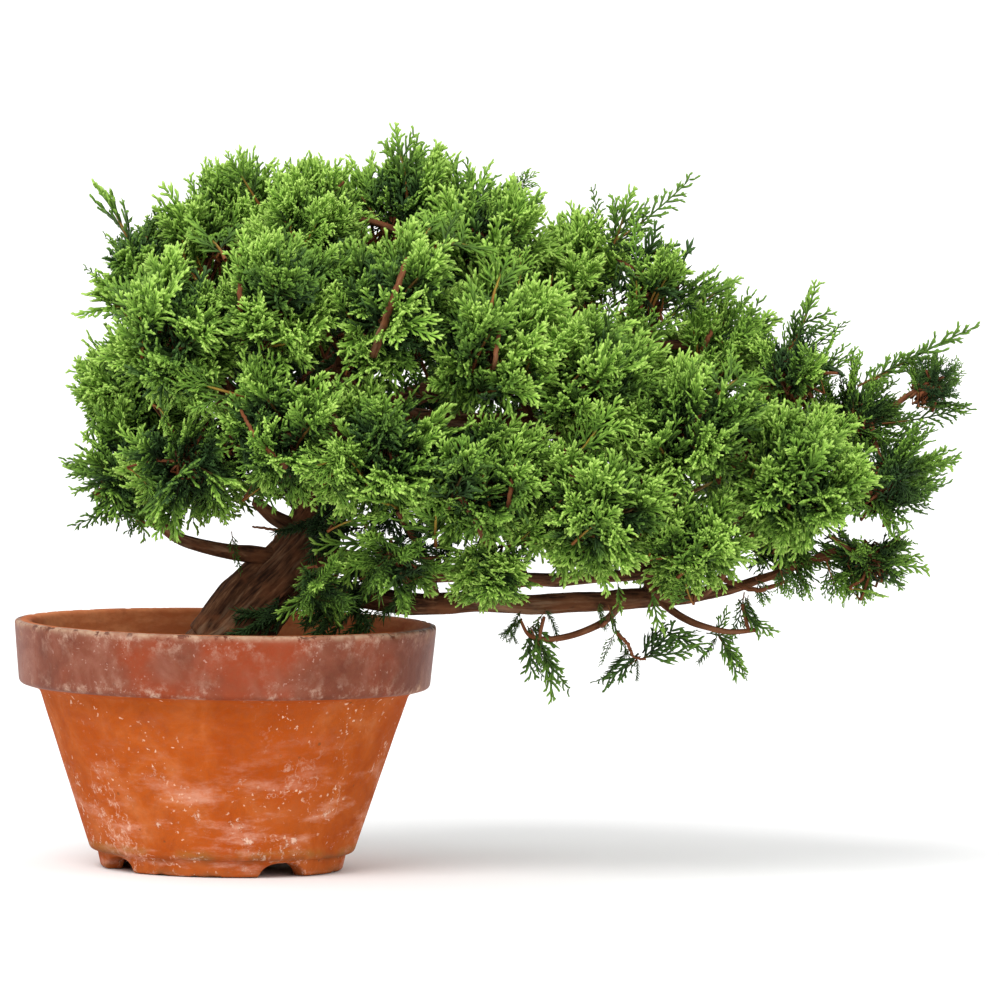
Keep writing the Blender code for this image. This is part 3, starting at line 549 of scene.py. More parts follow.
def frames_along(route):
    """The direction, side and up vectors at each point of a route."""
    ahead = unit(np.gradient(route, axis=0))
    side = np.cross(ahead[0], [0.3, 0.2, 1.0])
    sides = []
    for direction in ahead:
        side = unit(side - direction * side.dot(direction))
        sides.append(side)
    sides = np.array(sides)
    return ahead, sides, np.cross(ahead, sides)


class Bark:
    """Collects tubes with grooved bark, and gives them separate strips of the map."""

    def __init__(self):
        self.verts, self.faces, self.uvs, self.grain, self.thick = [], [], [], [], []
        self.tubes, self.caps = [], []
        self.count = 0

    def tube(self, route, radii, sides, groove, twist=0.0, seed=0.0):
        rows = len(route)
        ahead, across, up = frames_along(route)
        reach = lengths_along(route)
        turn = np.arange(sides) * 2 * math.pi / sides
        verts = np.zeros((rows, sides, 3))
        grain = np.zeros((rows, sides, 3))
        for row in range(rows):
            radius = radii[row]
            for column in range(sides):
                angle = turn[column] + twist * reach[row]
                grain_at = Vector((math.cos(turn[column]) * radius + seed,
                                   math.sin(turn[column]) * radius, reach[row] * 0.16))
                ridge = noise.fractal(grain_at * 260.0, 0.6, 2.2, 3)
                lump = noise.noise(grain_at * BARK_LUMPS)
                r = radius + groove * (0.75 * ridge + 0.9 * lump)
                verts[row, column] = route[row] + r * (math.cos(angle) * across[row]
                                                       + math.sin(angle) * up[row])
                grain[row, column] = grain_at
        start = self.count
        self.verts.append(verts.reshape(-1, 3))
        self.grain.append(grain.reshape(-1, 3))
        self.thick.append(np.repeat(radii, sides))
        quads, row, column = ring_quads(rows, sides)
        self.faces.append(start + quads)
        girth = 2 * math.pi * float(np.mean(radii))
        corners = np.stack([reach[row], column / sides, reach[row], (column + 1) / sides,
                            reach[row + 1], (column + 1) / sides, reach[row + 1], column / sides],
                           -1).reshape(-1, 4, 2)
        corners[..., 1] *= girth
        self.uvs.append(corners)
        self.tubes.append((reach[-1], girth))
        self.count += rows * sides
        # a domed end, drawn in from the last ring
        for ring, point, sign in ((start, route[0] - ahead[0] * radii[0] * 0.5, -1),
                                  (start + (rows - 1) * sides,
                                   route[-1] + ahead[-1] * radii[-1] * 0.6, 1)):
            self.verts.append(np.array([point]))
            self.grain.append(np.array([[seed, 0, 0]]))
            self.thick.append(np.array([radii[0]]))
            k = np.arange(sides)
            first, second = (k, (k + 1) % sides) if sign > 0 else ((k + 1) % sides, k)
            self.caps.append(np.stack([ring + first, ring + second,
                                       np.full(sides, self.count)], -1))
            self.count += 1

    def laid_out(self):
        """Places each tube's strip in the unit square, in shelves."""
        gap = 0.002
        total = sum((length + gap) * (girth + gap) for length, girth in self.tubes)
        side = math.sqrt(total) * 1.12
        order = sorted(range(len(self.tubes)), key=lambda k: -self.tubes[k][1])
        placed = [None] * len(self.tubes)
        x = y = shelf = 0.0
        for index in order:
            length, girth = self.tubes[index]
            length = min(length, side)
            if x + length > side:
                x, y, shelf = 0.0, y + shelf, 0.0
            placed[index] = (x, y, length / self.tubes[index][0])
            x += length + gap
            shelf = max(shelf, girth + gap)
        side = max(side, y + shelf) + gap
        out = []
        for (x, y, squeeze), uv in zip(placed, self.uvs):
            moved = uv.copy()
            moved[..., 0] = (uv[..., 0] * squeeze + x + gap / 2) / side
            moved[..., 1] = (uv[..., 1] + y + gap / 2) / side
            out.append(moved.reshape(-1, 2))
        return out


def bark_look():
    look = Look("bark_look", roughness=0.85, specular=0.08)
    grain = look.attribute("grain", "Vector")
    thick = look.attribute("thick")
    strips = look.noise(420.0, 6.0, 0.62, 0.3, grain)
    coarse = look.noise(120.0, 4.0, 0.6, 0.2, grain)
    patch = look.noise(55.0, 4.0, 0.6)
    fine = look.noise(1500.0, 3.0, 0.6, 0.0, grain)
    colour = look.ramp(strips, [(0.30, (0.016, 0.007, 0.004)), (0.44, (0.055, 0.022, 0.011)),
                                (0.56, (0.115, 0.050, 0.024)), (0.70, (0.240, 0.125, 0.068))])
    colour = look.mix(look.span(patch, 0.46, 0.64, 0.0, 0.65), colour, (0.170, 0.062, 0.026))
    colour = look.mix(look.span(coarse, 0.56, 0.70, 0.0, 0.50), colour, (0.300, 0.185, 0.110))
    crack = look.span(coarse, 0.34, 0.42, 0.85, 0.0)
    colour = look.mix(crack, colour, (0.020, 0.009, 0.006))
    colour = look.mix(look.span(thick, 0.0008, 0.0030, 0.5, 0.0), colour, (0.260, 0.085, 0.035))
    look.colour(colour)
    relief = look.math("ADD", look.times(strips, 0.8), look.times(fine, 0.25))
    relief = look.math("SUBTRACT", relief, crack)
    look.bump(relief, 0.0009, 0.8)
    return look


def make_wood(look, nodes):
    """The trunk, roots and limbs, a twig to the middle of each bough, and the stems."""
    bark = Bark()
    limb_points = []
    for index, (name, points) in enumerate(LIMBS.items()):
        points = np.array(points) / (1000, 1000, 1000, 1)
        thick = float(points[:, 3].mean()) * TRUNK_RADIUS
        length = float(np.linalg.norm(np.diff(points[:, :3], axis=0), axis=1).sum())
        step = 0.0011 if name == "trunk" else 0.0018
        per_span = max(4, int(length / (len(points) - 1) / step))
        route = smooth_route([planted(p[:3]) for p in points], per_span)
        radii = smooth_route(np.stack([points[:, 3] * TRUNK_RADIUS] * 3, 1), per_span)[:, 0]
        if name != "trunk":
            wander = np.stack([noise_on(route, 34.0, (k * 9, 3, index)) for k in range(3)], 1)
            fade = np.clip(np.arange(len(route)) / 8, 0, 1)[:, None]
            route = route + wander * 0.0022 * fade
            radii = radii * (1 + 0.10 * noise_on(route, 70.0, (1, index, 4)))
        sides = 80 if name == "trunk" else max(14, min(48, int(2 * math.pi * thick / 0.0010)))
        bark.tube(route, radii, sides, min(0.0016, 0.10 * thick), 8.0 if name == "trunk" else 4.0,
                  index * 0.37)
        if name in CARRIERS:
            step = max(1, per_span // 2)
            limb_points += zip(route[per_span::step], radii[per_span::step])
    places = np.array([p for p, _ in limb_points])
    for index, (middle, *_) in enumerate(nodes.values()):
        nearest = int(np.argmin(np.linalg.norm(places - middle, axis=1)))
        start, width = limb_points[nearest]
        reach = np.linalg.norm(middle - start)
        bend = (start + middle) / 2 + np.array([0, 0, 0.10 * reach]) + rng.normal(0, 0.0015, 3)
        beyond = middle + unit(middle - start) * 0.006
        route = smooth_route([start, bend, beyond], max(4, int(reach / 0.004)))
        base = min(0.0030, 0.9 * width)
        bark.tube(route, np.linspace(base, 0.0010, len(route)), 10, 0.00025, 3.0, 7 + index * 0.11)
    for index, (first, last, points) in enumerate(OWN_STEMS):
        ends = (0, len(points) - 1)       # these lie deeper, among the shoots
        route = smooth_route([on_front(point, nodes, 0.011 if k in ends else 0.003)
                              for k, point in enumerate(points)], 14)
        route = route + rng.normal(0, 0.00025, route.shape)
        bark.tube(route, np.linspace(first / 1000, last / 1000, len(route)), 12, 0.0003, 3.0,
                  15 + index * 0.13)
    caps = np.vstack(bark.caps)
    # quads are cut in two so that all faces have three corners
    triangles = halves(np.vstack(bark.faces))
    uv = halves(np.vstack(bark.laid_out()).reshape(-1, 4, 2))
    cap_uv = np.tile([[0.9990, 0.9990], [0.9998, 0.9990], [0.9994, 0.9998]], (len(caps), 1, 1))
    piece = new_piece("wood_bark", np.vstack(bark.verts), np.vstack([triangles, caps]), 3,
                      look, np.concatenate([uv, cap_uv]),
                      {"grain": np.vstack(bark.grain), "thick": np.concatenate(bark.thick)})
    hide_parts("trunk_and_limbs")


# --------------------------------------------------------------------- the soil
SOIL_EDGE = RIM_HEIGHT - 0.0240
SOIL_MOUND = 0.0050
SOIL_MOUND_RADIUS = 0.1035
GRAINS = 5200


def soil_look():
    look = Look("soil_look", roughness=0.95, specular=0.2)
    tone = look.attribute("tone")
    colour = look.ramp(tone, [(0.0, (0.030, 0.018, 0.012)), (0.35, (0.085, 0.045, 0.026)),
                              (0.6, (0.170, 0.095, 0.050)), (0.85, (0.26, 0.165, 0.095)),
                              (1.0, (0.36, 0.28, 0.20))])
    colour = look.mix(look.span(look.noise(700.0, 4.0, 0.65), 0.35, 0.65, 0.0, 0.6),
                      colour, (0.045, 0.026, 0.018))
    look.colour(colour)
    look.bump(look.noise(1400.0, 4.0, 0.7), 0.0004, 0.8)
    return look


def soil_height(radius):
    share = np.clip(radius / SOIL_MOUND_RADIUS, 0, 1)
    return SOIL_EDGE + SOIL_MOUND * np.cos(share * math.pi / 2)


def make_soil():
    """A bed of earth with loose grains on it, from fine to pea-sized."""
    edge = RIM_RADIUS - LIP_THICKNESS - 0.0085
    rings, steps = 60, 160
    radius = np.linspace(0.0005, edge, rings)
    turn = np.arange(steps) * 2 * math.pi / steps
    r, t = np.meshgrid(radius, turn, indexing="ij")
    x, y = r * np.cos(t), r * np.sin(t)
    z = soil_height(r) - 0.0012
    flat = np.stack([x, y, np.zeros_like(x)], -1).reshape(-1, 3)
    z = z + 0.0010 * rugged_on(flat, 160.0).reshape(z.shape)
    top = np.stack([x + AXIS[0], y + AXIS[1], z], -1).reshape(-1, 3)
    # the sides and the flat bottom of the root ball
    wall_r = np.array([edge, 0.0830, 0.0720, 0.0660, 0.0200])
    wall_z = np.array([SOIL_EDGE - 0.012, 0.0700, 0.0320, FLOOR_TOP + 0.0016, FLOOR_TOP + 0.0016])
    side = np.stack([np.outer(wall_r, np.cos(turn)) + AXIS[0],
                     np.outer(wall_r, np.sin(turn)) + AXIS[1],
                     np.repeat(wall_z[:, None], steps, 1)], -1).reshape(-1, 3)
    verts = np.vstack([top, side])
    quads, _, _ = ring_quads(rings + len(wall_r), steps)
    triangles = halves(quads[:, [0, 3, 2, 1]])
    tones = np.full(len(verts), 0.12)
    # the grains, each a squashed and jittered octahedron cut once
    ball, ball_faces = crystal()
    place_r = edge * 0.985 * np.sqrt(rng.uniform(0.02, 1, GRAINS))
    place_t = rng.uniform(0, 2 * math.pi, GRAINS)
    size = 0.0007 + 0.0017 * rng.beta(1.6, 4.0, GRAINS)
    spin = random_turns(GRAINS)
    shape = ball[None] * rng.uniform(0.72, 1.2, (GRAINS, len(ball), 1))
    shape = shape * rng.uniform(0.7, 1.25, (GRAINS, 1, 3)) * size[:, None, None]
    shape = np.einsum("nij,nkj->nki", spin, shape)
    centre = np.stack([place_r * np.cos(place_t) + AXIS[0], place_r * np.sin(place_t) + AXIS[1],
                       soil_height(place_r) - 0.0006 + size * 0.25], -1)
    grains = (shape + centre[:, None]).reshape(-1, 3)
    faces = (ball_faces[None] + (np.arange(GRAINS) * len(ball))[:, None, None] + len(verts))
    tones = np.concatenate([tones, np.repeat(rng.beta(1.6, 1.6, GRAINS), len(ball))])
    piece = new_piece("soil_bed", np.vstack([verts, grains]),
                      np.vstack([triangles, faces.reshape(-1, 3)]), 3, soil_look(),
                      None, {"tone": tones})
    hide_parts("soil")


def crystal():
    """A ball of 18 points and 32 faces."""
    corners = [(1, 0, 0), (-1, 0, 0), (0, 1, 0), (0, -1, 0), (0, 0, 1), (0, 0, -1)]
    faces = [(0, 2, 4), (2, 1, 4), (1, 3, 4), (3, 0, 4), (2, 0, 5), (1, 2, 5), (3, 1, 5), (0, 3, 5)]
    points = [np.array(c, float) for c in corners]
    found, cut = {}, []
    for face in faces:
        mids = []
        for a, b in zip(face, face[1:] + face[:1]):
            key = (min(a, b), max(a, b))
            if key not in found:
                found[key] = len(points)
                points.append(unit(points[a] + points[b]))
            mids.append(found[key])
        a, b, c = face
        cut += [(a, mids[0], mids[2]), (b, mids[1], mids[0]), (c, mids[2], mids[1]), tuple(mids)]
    return np.array(points), np.array(cut)


def random_turns(count):
    """Rotation matrices spread evenly."""
    q = unit(rng.normal(size=(count, 4)))
    w, x, y, z = q.T
    return np.stack([
        np.stack([1 - 2 * (y * y + z * z), 2 * (x * y - z * w), 2 * (x * z + y * w)], -1),
        np.stack([2 * (x * y + z * w), 1 - 2 * (x * x + z * z), 2 * (y * z - x * w)], -1),
        np.stack([2 * (x * z - y * w), 2 * (y * z + x * w), 1 - 2 * (x * x + y * y)], -1),
    ], 1)


# ------------------------------------------------------------------ the foliage
class Sticks:
    """Tapering shoots with three sides each, and a point at the end."""

    def __init__(self):
        self.verts, self.faces, self.along, self.fresh = [], [], [], []
        self.count = 0
        self.freshness = 0.0

    def add(self, points, radii, tones, sides=3):
        """points are rings' middles, and the last one is the tip."""
        points = np.asarray(points, float)
        ahead = unit(np.gradient(points, axis=0))
        guide = np.array([0.13, 0.21, 0.97]) if abs(ahead[0][2]) < 0.9 else np.array([1.0, 0, 0])
        side = unit(np.cross(ahead, guide))
        up = np.cross(ahead, side)
        rings = len(points) - 1
        turn = np.arange(sides) * 2 * math.pi / sides + self.count * 0.7
        for k in range(rings):
            ring = points[k] + radii[k] * (np.cos(turn)[:, None] * side[k]
                                           + np.sin(turn)[:, None] * up[k])
            self.verts.append(ring)
            self.along += [tones[k]] * sides
        self.verts.append(points[-1:])
        self.along.append(tones[-1])
        self.fresh += [self.freshness] * (rings * sides + 1)
        for k in range(rings - 1):
            low, high = self.count + k * sides, self.count + (k + 1) * sides
            for j in range(sides):
                i = (j + 1) % sides
                self.faces += [(low + j, low + i, high + i), (low + j, high + i, high + j)]
        low, tip = self.count + (rings - 1) * sides, self.count + rings * sides
        for j in range(sides):
            self.faces.append((low + j, low + (j + 1) % sides, tip))
        self.count += rings * sides + 1

    def done(self):
        return (np.vstack(self.verts), np.array(self.faces), np.array(self.along),
                np.array(self.fresh))


def bent(start, direction, length, lift, count):
    """Points of a shoot that turns a little towards lift."""
    t = np.linspace(0, 1, count)[:, None]
    return start + unit(direction) * length * t + np.asarray(lift) * length * t ** 2


def point_on(axis, share):
    """The point at a share of the way along a shoot's points."""
    row = min(max(share, 0.0), 0.999) * (len(axis) - 1)
    low = int(row)
    return axis[low] + (axis[low + 1] - axis[low]) * (row - low)


def add_fan(sticks, draw, start, ahead, across, length, fingers, spread, flat, plump):
    """A fan: straight fingers of scale leaves stand left and right of an axis in
    turn, and some of them fork."""
    normal = np.cross(across, ahead)
    lift = across * draw.normal(0, 0.08) + normal * draw.normal(0, 0.08)
    axis = bent(start, ahead, length, lift, 5)
    sticks.add(axis, [0.0009, 0.0009, 0.0009, 0.00096 * plump], [0.22, 0.34, 0.46, 0.62, 0.98])
    for index in range(fingers):
        share = 0.10 + 0.84 * (index + draw.uniform(-0.25, 0.25)) / (fingers - 1)
        side = 1 if index % 2 else -1
        angle = math.radians(spread - 10 * share + draw.uniform(-6, 6))
        reach = min(length * (0.52 - 0.25 * share), 0.0135) * draw.uniform(0.75, 1.20)
        way = (ahead * math.cos(angle) + across * side * math.sin(angle)
               + normal * draw.normal(0, flat))
        root = point_on(axis, share)
        shoot = bent(root, way, reach, ahead * 0.10, 4)
        shade = 0.34 + 0.24 * share
        thick = 0.00096 * plump * draw.uniform(0.86, 1.14)
        sticks.add(shoot, [thick * 0.80, thick, thick * 1.02],
                   [shade, shade + 0.20, shade + 0.36, 1.0])
        for number in range(int(draw.integers(1, 3))):
            spot = point_on(shoot, draw.uniform(0.25, 0.72))
            hand = 1 if number % 2 else -1
            tilt = math.radians(draw.uniform(20, 32))
            line = unit(way)
            fork = (line * math.cos(tilt) + unit(np.cross(normal, line)) * hand * math.sin(tilt)
                    + normal * draw.normal(0, flat))
            size = draw.uniform(0.0032, 0.0058)
            sticks.add([spot, spot + fork * size * 0.74, spot + fork * size],
                       [thick * 0.75, thick, 0], [shade + 0.20, shade + 0.40, 1.0])


def fan_spray(seed, length, fingers=9, spread=36.0, flat=0.16, plump=1.0):
    draw = np.random.default_rng(seed)
    sticks = Sticks()
    add_fan(sticks, draw, np.zeros(3), np.array([0, 1.0, 0]), np.array([1.0, 0, 0]), length,
            fingers, spread, flat, plump)
    return sticks.done()


def branchlet(seed, length, fans=7, fan_length=0.024, spread=40.0, flat=0.30):
    """A twig with fans to its left and right and one at its end."""
    draw = np.random.default_rng(seed)
    sticks = Sticks()
    axis = bent(np.zeros(3), (0, 1, 0), length * 0.72,
                (draw.normal(0, 0.10), 0, draw.normal(0, 0.10)), 6)
    sticks.add(axis, [0.0015, 0.0012, 0.0011, 0.0010, 0.0008],
               [0.0, 0.03, 0.07, 0.12, 0.17, 0.24], 4)
    for index in range(fans):
        share = 0.22 + 0.76 * (index + draw.uniform(-0.25, 0.25)) / fans
        side = 1 if index % 2 else -1
        angle = math.radians(spread - 10 * share + draw.uniform(-8, 8))
        turn = draw.normal(0, flat)
        across = np.array([math.cos(turn), 0, math.sin(turn)])
        ahead = unit(np.array([0, math.cos(angle), 0]) + across * side * math.sin(angle)
                     + [0, 0, draw.normal(0, flat * 0.6)])
        own = unit(across * math.cos(angle) - np.array([0, side * math.sin(angle), 0]))
        own = unit(own - ahead * own.dot(ahead))
        sticks.freshness = 0.56 * share - 0.38 + draw.normal(0, 0.06)
        add_fan(sticks, draw, point_on(axis, share), ahead, own,
                fan_length * (1.10 - 0.40 * share) * draw.uniform(0.85, 1.15),
                int(draw.integers(6, 9)), 32, 0.13, draw.uniform(0.94, 1.10))
    sticks.freshness = 0.26
    add_fan(sticks, draw, axis[-2], unit(axis[-1] - axis[-2]), np.array([1.0, 0, 0]),
            length * 0.28 + 0.010, 8, 34, 0.16, 1.05)
    return sticks.done()


def plume_spray(seed, length):
    """A long loose shoot with short side shoots, as at the ends of the limbs."""
    draw = np.random.default_rng(seed)
    sticks = Sticks()
    axis = bent(np.zeros(3), (0, 1, 0), length, (draw.normal(0, 0.10), 0, draw.normal(0, 0.10)), 8)
    sticks.add(axis, [0.0010, 0.0009, 0.0008, 0.0008, 0.0007, 0.0007, 0.0006],
               [0.02, 0.08, 0.20, 0.36, 0.48, 0.56, 0.66, 0.94])
    shoots = 16
    for index in range(shoots):
        share = 0.10 + 0.86 * (index + draw.uniform(-0.25, 0.25)) / (shoots - 1)
        side = 1 if index % 2 else -1
        angle = math.radians(36 - 8 * share + draw.uniform(-6, 6))
        reach = (0.0175 - 0.0120 * share) * draw.uniform(0.75, 1.2)
        way = unit([side * math.sin(angle), math.cos(angle), draw.normal(0, 0.20)])
        arm = bent(point_on(axis, share), way, reach, (0, 0.12, draw.normal(0, 0.06)), 4)
        sticks.add(arm, [0.0007, 0.00092, 0.00092], [0.40, 0.54, 0.70, 0.97])
        for number in range(int(reach / 0.0036)):
            spot = point_on(arm, draw.uniform(0.25, 0.8))
            hand = 1 if number % 2 else -1
            fork = unit(way + np.array([hand * math.cos(angle), -hand * side * math.sin(angle), 0])
                        * 0.52 + [0, 0, draw.normal(0, 0.15)])
            size = draw.uniform(0.0030, 0.0052)
            sticks.add([spot, spot + fork * size * 0.74, spot + fork * size],
                       [0.00064, 0.00090, 0], [0.52, 0.74, 0.97])
    return sticks.done()


def needle_spray(seed, length, whorls=16):
    """A shoot of young foliage: short sharp needles in threes round the axis."""
    draw = np.random.default_rng(seed)
    sticks = Sticks()
    axis = bent(np.zeros(3), (0, 1, 0), length, (draw.normal(0, 0.12), 0, draw.normal(0, 0.12)), 6)
    sticks.add(axis, [0.0007, 0.0006, 0.0006, 0.0005, 0.0005], [0.05, 0.1, 0.2, 0.4, 0.5, 0.7])
    for index in range(whorls):
        start = point_on(axis, 0.06 + 0.94 * index / whorls)
        for number in range(3):
            turn = number * 2.094 + index * 1.05 + draw.uniform(-0.3, 0.3)
            tilt = math.radians(draw.uniform(32, 52))
            way = (math.sin(tilt) * math.cos(turn), math.cos(tilt), math.sin(tilt) * math.sin(turn))
            reach = draw.uniform(0.0050, 0.0090)
            sticks.add(bent(start, way, reach, (0, 0.1, 0), 3), [0.00056, 0.00054],
                       [0.34, 0.60, 0.86])
    return sticks.done()


BRANCHLETS = [branchlet(100 + k, 0.056, int(rng.integers(5, 8)), rng.uniform(0.025, 0.031),
                        rng.uniform(34, 44), rng.uniform(0.15, 0.40)) for k in range(20)]
FANS = [fan_spray(200 + k, 0.030, int(rng.integers(9, 12)), rng.uniform(32, 40),
                  rng.uniform(0.12, 0.24)) for k in range(10)]
PLUMES = [plume_spray(300 + k, 0.064) for k in range(10)]
NEEDLES = [needle_spray(500 + k, 0.034) for k in range(8)]
# each kind's prototypes and their length
SPRAYS = {"branchlet": (BRANCHLETS, 0.062), "fan": (FANS, 0.030), "plume": (PLUMES, 0.064),
          "needle": (NEEDLES, 0.036)}


def foliage_look(name):
    """Colour comes from the map alone: across it is how far along its shoot a place
    is, and up it is the spray's tone, which carries painted light and shade, from shaded and bluish
    to fresh."""
    look = Look(name, roughness=0.5, specular=0.14)
    parts = look.add("ShaderNodeSeparateXYZ")
    look.plug(look.add("ShaderNodeUVMap", uv_map="OFBake").outputs[0], parts.inputs[0])
    along, tone = parts.outputs[0], parts.outputs[1]
    deep = look.ramp(along, [(0.00, (0.045, 0.018, 0.009)), (0.15, (0.016, 0.013, 0.006)),
                             (0.30, (0.008, 0.017, 0.006)), (0.60, (0.018, 0.043, 0.014)),
                             (0.85, (0.034, 0.078, 0.022)), (1.00, (0.055, 0.120, 0.030))])
    middle = look.ramp(along, [(0.00, (0.160, 0.046, 0.016)), (0.12, (0.190, 0.095, 0.022)),
                               (0.28, (0.026, 0.050, 0.010)), (0.60, (0.060, 0.122, 0.020)),
                               (0.85, (0.122, 0.248, 0.028)), (1.00, (0.205, 0.365, 0.052))])
    fresh = look.ramp(along, [(0.00, (0.240, 0.075, 0.022)), (0.12, (0.420, 0.300, 0.045)),
                              (0.28, (0.062, 0.130, 0.020)), (0.60, (0.140, 0.285, 0.034)),
                              (0.85, (0.290, 0.500, 0.070)), (1.00, (0.500, 0.720, 0.160))])
    colour = look.mix(look.times(tone, 2.0, True), deep, middle)
    upper = look.math("SUBTRACT", look.times(tone, 2.0), 1.0, True)
    look.colour(look.mix(upper, colour, fresh))
    return look


class Bough:
    """Collects placed sprays for one piece."""

    def __init__(self):
        self.verts, self.faces, self.uvs, self.count = [], [], [], 0

    def place(self, spray, origin, direction, facing, scale, tone, droop=0.0, middle=None,
              radius=1.0):
        """Puts one spray in. With a middle and radius, what lies deep in the bough is
        darker: painted shade, and also older foliage."""
        verts, faces, along, fresh = spray
        ahead = unit(direction)
        facing = np.asarray(facing, float)
        across = unit(np.cross(ahead, facing))
        if not np.isfinite(across).all() or np.linalg.norm(across) < 0.5:
            across = unit(np.cross(ahead, [0.3, 0.5, 0.8]))
        normal = np.cross(across, ahead)
        local = verts.copy()
        local[:, 2] += droop * local[:, 1] ** 2
        world = (local * scale) @ np.stack([across, ahead, normal])
        self.verts.append((world + origin).astype(np.float32))
        self.faces.append(faces + self.count)
        lit = tone + fresh
        if middle is not None:
            depth = np.linalg.norm(world + origin - middle, axis=1) / radius
            # painted shade: darker the deeper a place lies in the bough
            lit = lit - 0.60 * np.clip((0.98 - depth) / 0.52, 0, 1)
        v = np.clip(lit[faces[:, :1]], 0.02, 0.97)
        u = np.clip(along, 0.002, 0.995)
        corner_u = u[faces] + np.array([0.0, 0.0008, 0.0016])
        corner_v = v + np.array([0.0, 0.003, 0.0])
        self.uvs.append(np.stack([np.clip(corner_u, 0, 1), corner_v], -1))
        self.count += len(verts)

    def piece(self, name, look, *nodes):
        made = new_piece(name, np.vstack(self.verts), np.vstack(self.faces), 3, look,
                         np.vstack(self.uvs).reshape(-1, 2))
        if nodes:
            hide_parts(*nodes)
        return made


def mesh_of(node):
    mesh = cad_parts[node].data
    verts = np.array([v.co for v in mesh.vertices])
    faces = [tuple(p.vertices) for p in mesh.polygons]
    return verts, faces


def even_directions(count, turn):
    index = np.arange(count)
    z = 1 - (2 * index + 1) / count
    ring = np.sqrt(1 - z * z)
    angle = math.pi * (3 - math.sqrt(5)) * index + turn
    return np.stack([ring * np.cos(angle), ring * np.sin(angle), z], -1)


def foliage_nodes():
    """Each bough's middle, its radius, and the corners and faces of its CAD mesh."""
    found = {}
    for name in sorted(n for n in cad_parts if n.startswith("foliage_")):
        verts, faces = mesh_of(name)
        low, high = verts.min(0), verts.max(0)
        middle = (low + high) / 2
        reach = np.linalg.norm(verts - middle, axis=1)
        if "_hanging" in name:
            middle = middle + [0, 0, 0.022]
        found[name] = (middle, float(np.percentile(reach, 80)), verts, faces)
    return found


# a line through the crown's middle, from which it grows outwards
CROWN_SPINE = smooth_route([planted((x, 0.0, height)) for x, height in (
    (-0.040, 0.275), (0.060, 0.290), (0.150, 0.270), (0.250, 0.240), (0.350, 0.225))], 8)


def out_of_crown(point):
    """The way out of the crown at a point."""
    return unit(point - CROWN_SPINE[np.argmin(np.linalg.norm(CROWN_SPINE - point, axis=1))])


# The crown's outline from the front, drawn like the limbs: (x, height) in millimetres.
CROWN_OUTLINE = [
    (-54, 191), (-85, 197), (-90, 234), (-80, 248), (-82, 282), (-80, 293), (-64, 307), (-67, 333),
    (-64, 355), (-48, 364), (-34, 373), (-17, 384), (-2, 402), (25, 401), (53, 402), (73, 407),
    (90, 397), (105, 407), (127, 406), (150, 398), (173, 386), (187, 372), (207, 375), (218, 384),
    (235, 379), (249, 356), (269, 342), (289, 331), (309, 314), (326, 308), (345, 308), (354, 294),
    (382, 290), (414, 290), (420, 266), (414, 238), (402, 209), (385, 191), (391, 166), (360, 152),
    (314, 152), (314, 80), (20, 80), (8, 181),
]
OUTLINE = np.array([planted(metres((x, 0, height))) for x, height in CROWN_OUTLINE])[:, [0, 2]]
# how far the shoots may reach to the front and back
DEPTH = (cad_bounds[0][1], cad_bounds[1][1])


def in_outline(point):
    x, z = point[0], point[2]
    following = np.roll(OUTLINE, -1, axis=0)
    crossed = (OUTLINE[:, 1] > z) != (following[:, 1] > z)
    rise = np.where(crossed, following[:, 1] - OUTLINE[:, 1], 1.0)
    edge = OUTLINE[:, 0] + (z - OUTLINE[:, 1]) / rise * (following[:, 0] - OUTLINE[:, 0])
    return int((crossed & (x < edge)).sum()) % 2 == 1


def held_in(tip, middle):
    """Draws a shoot's tip back towards its bough until it is in the outline."""
    reach = 1.0
    while reach > 0.25 and not in_outline(middle + (tip - middle) * reach):
        reach -= 0.05
    return middle + (tip - middle) * reach * (rng.uniform(0.94, 1.0) if reach < 1.0 else 1.0)
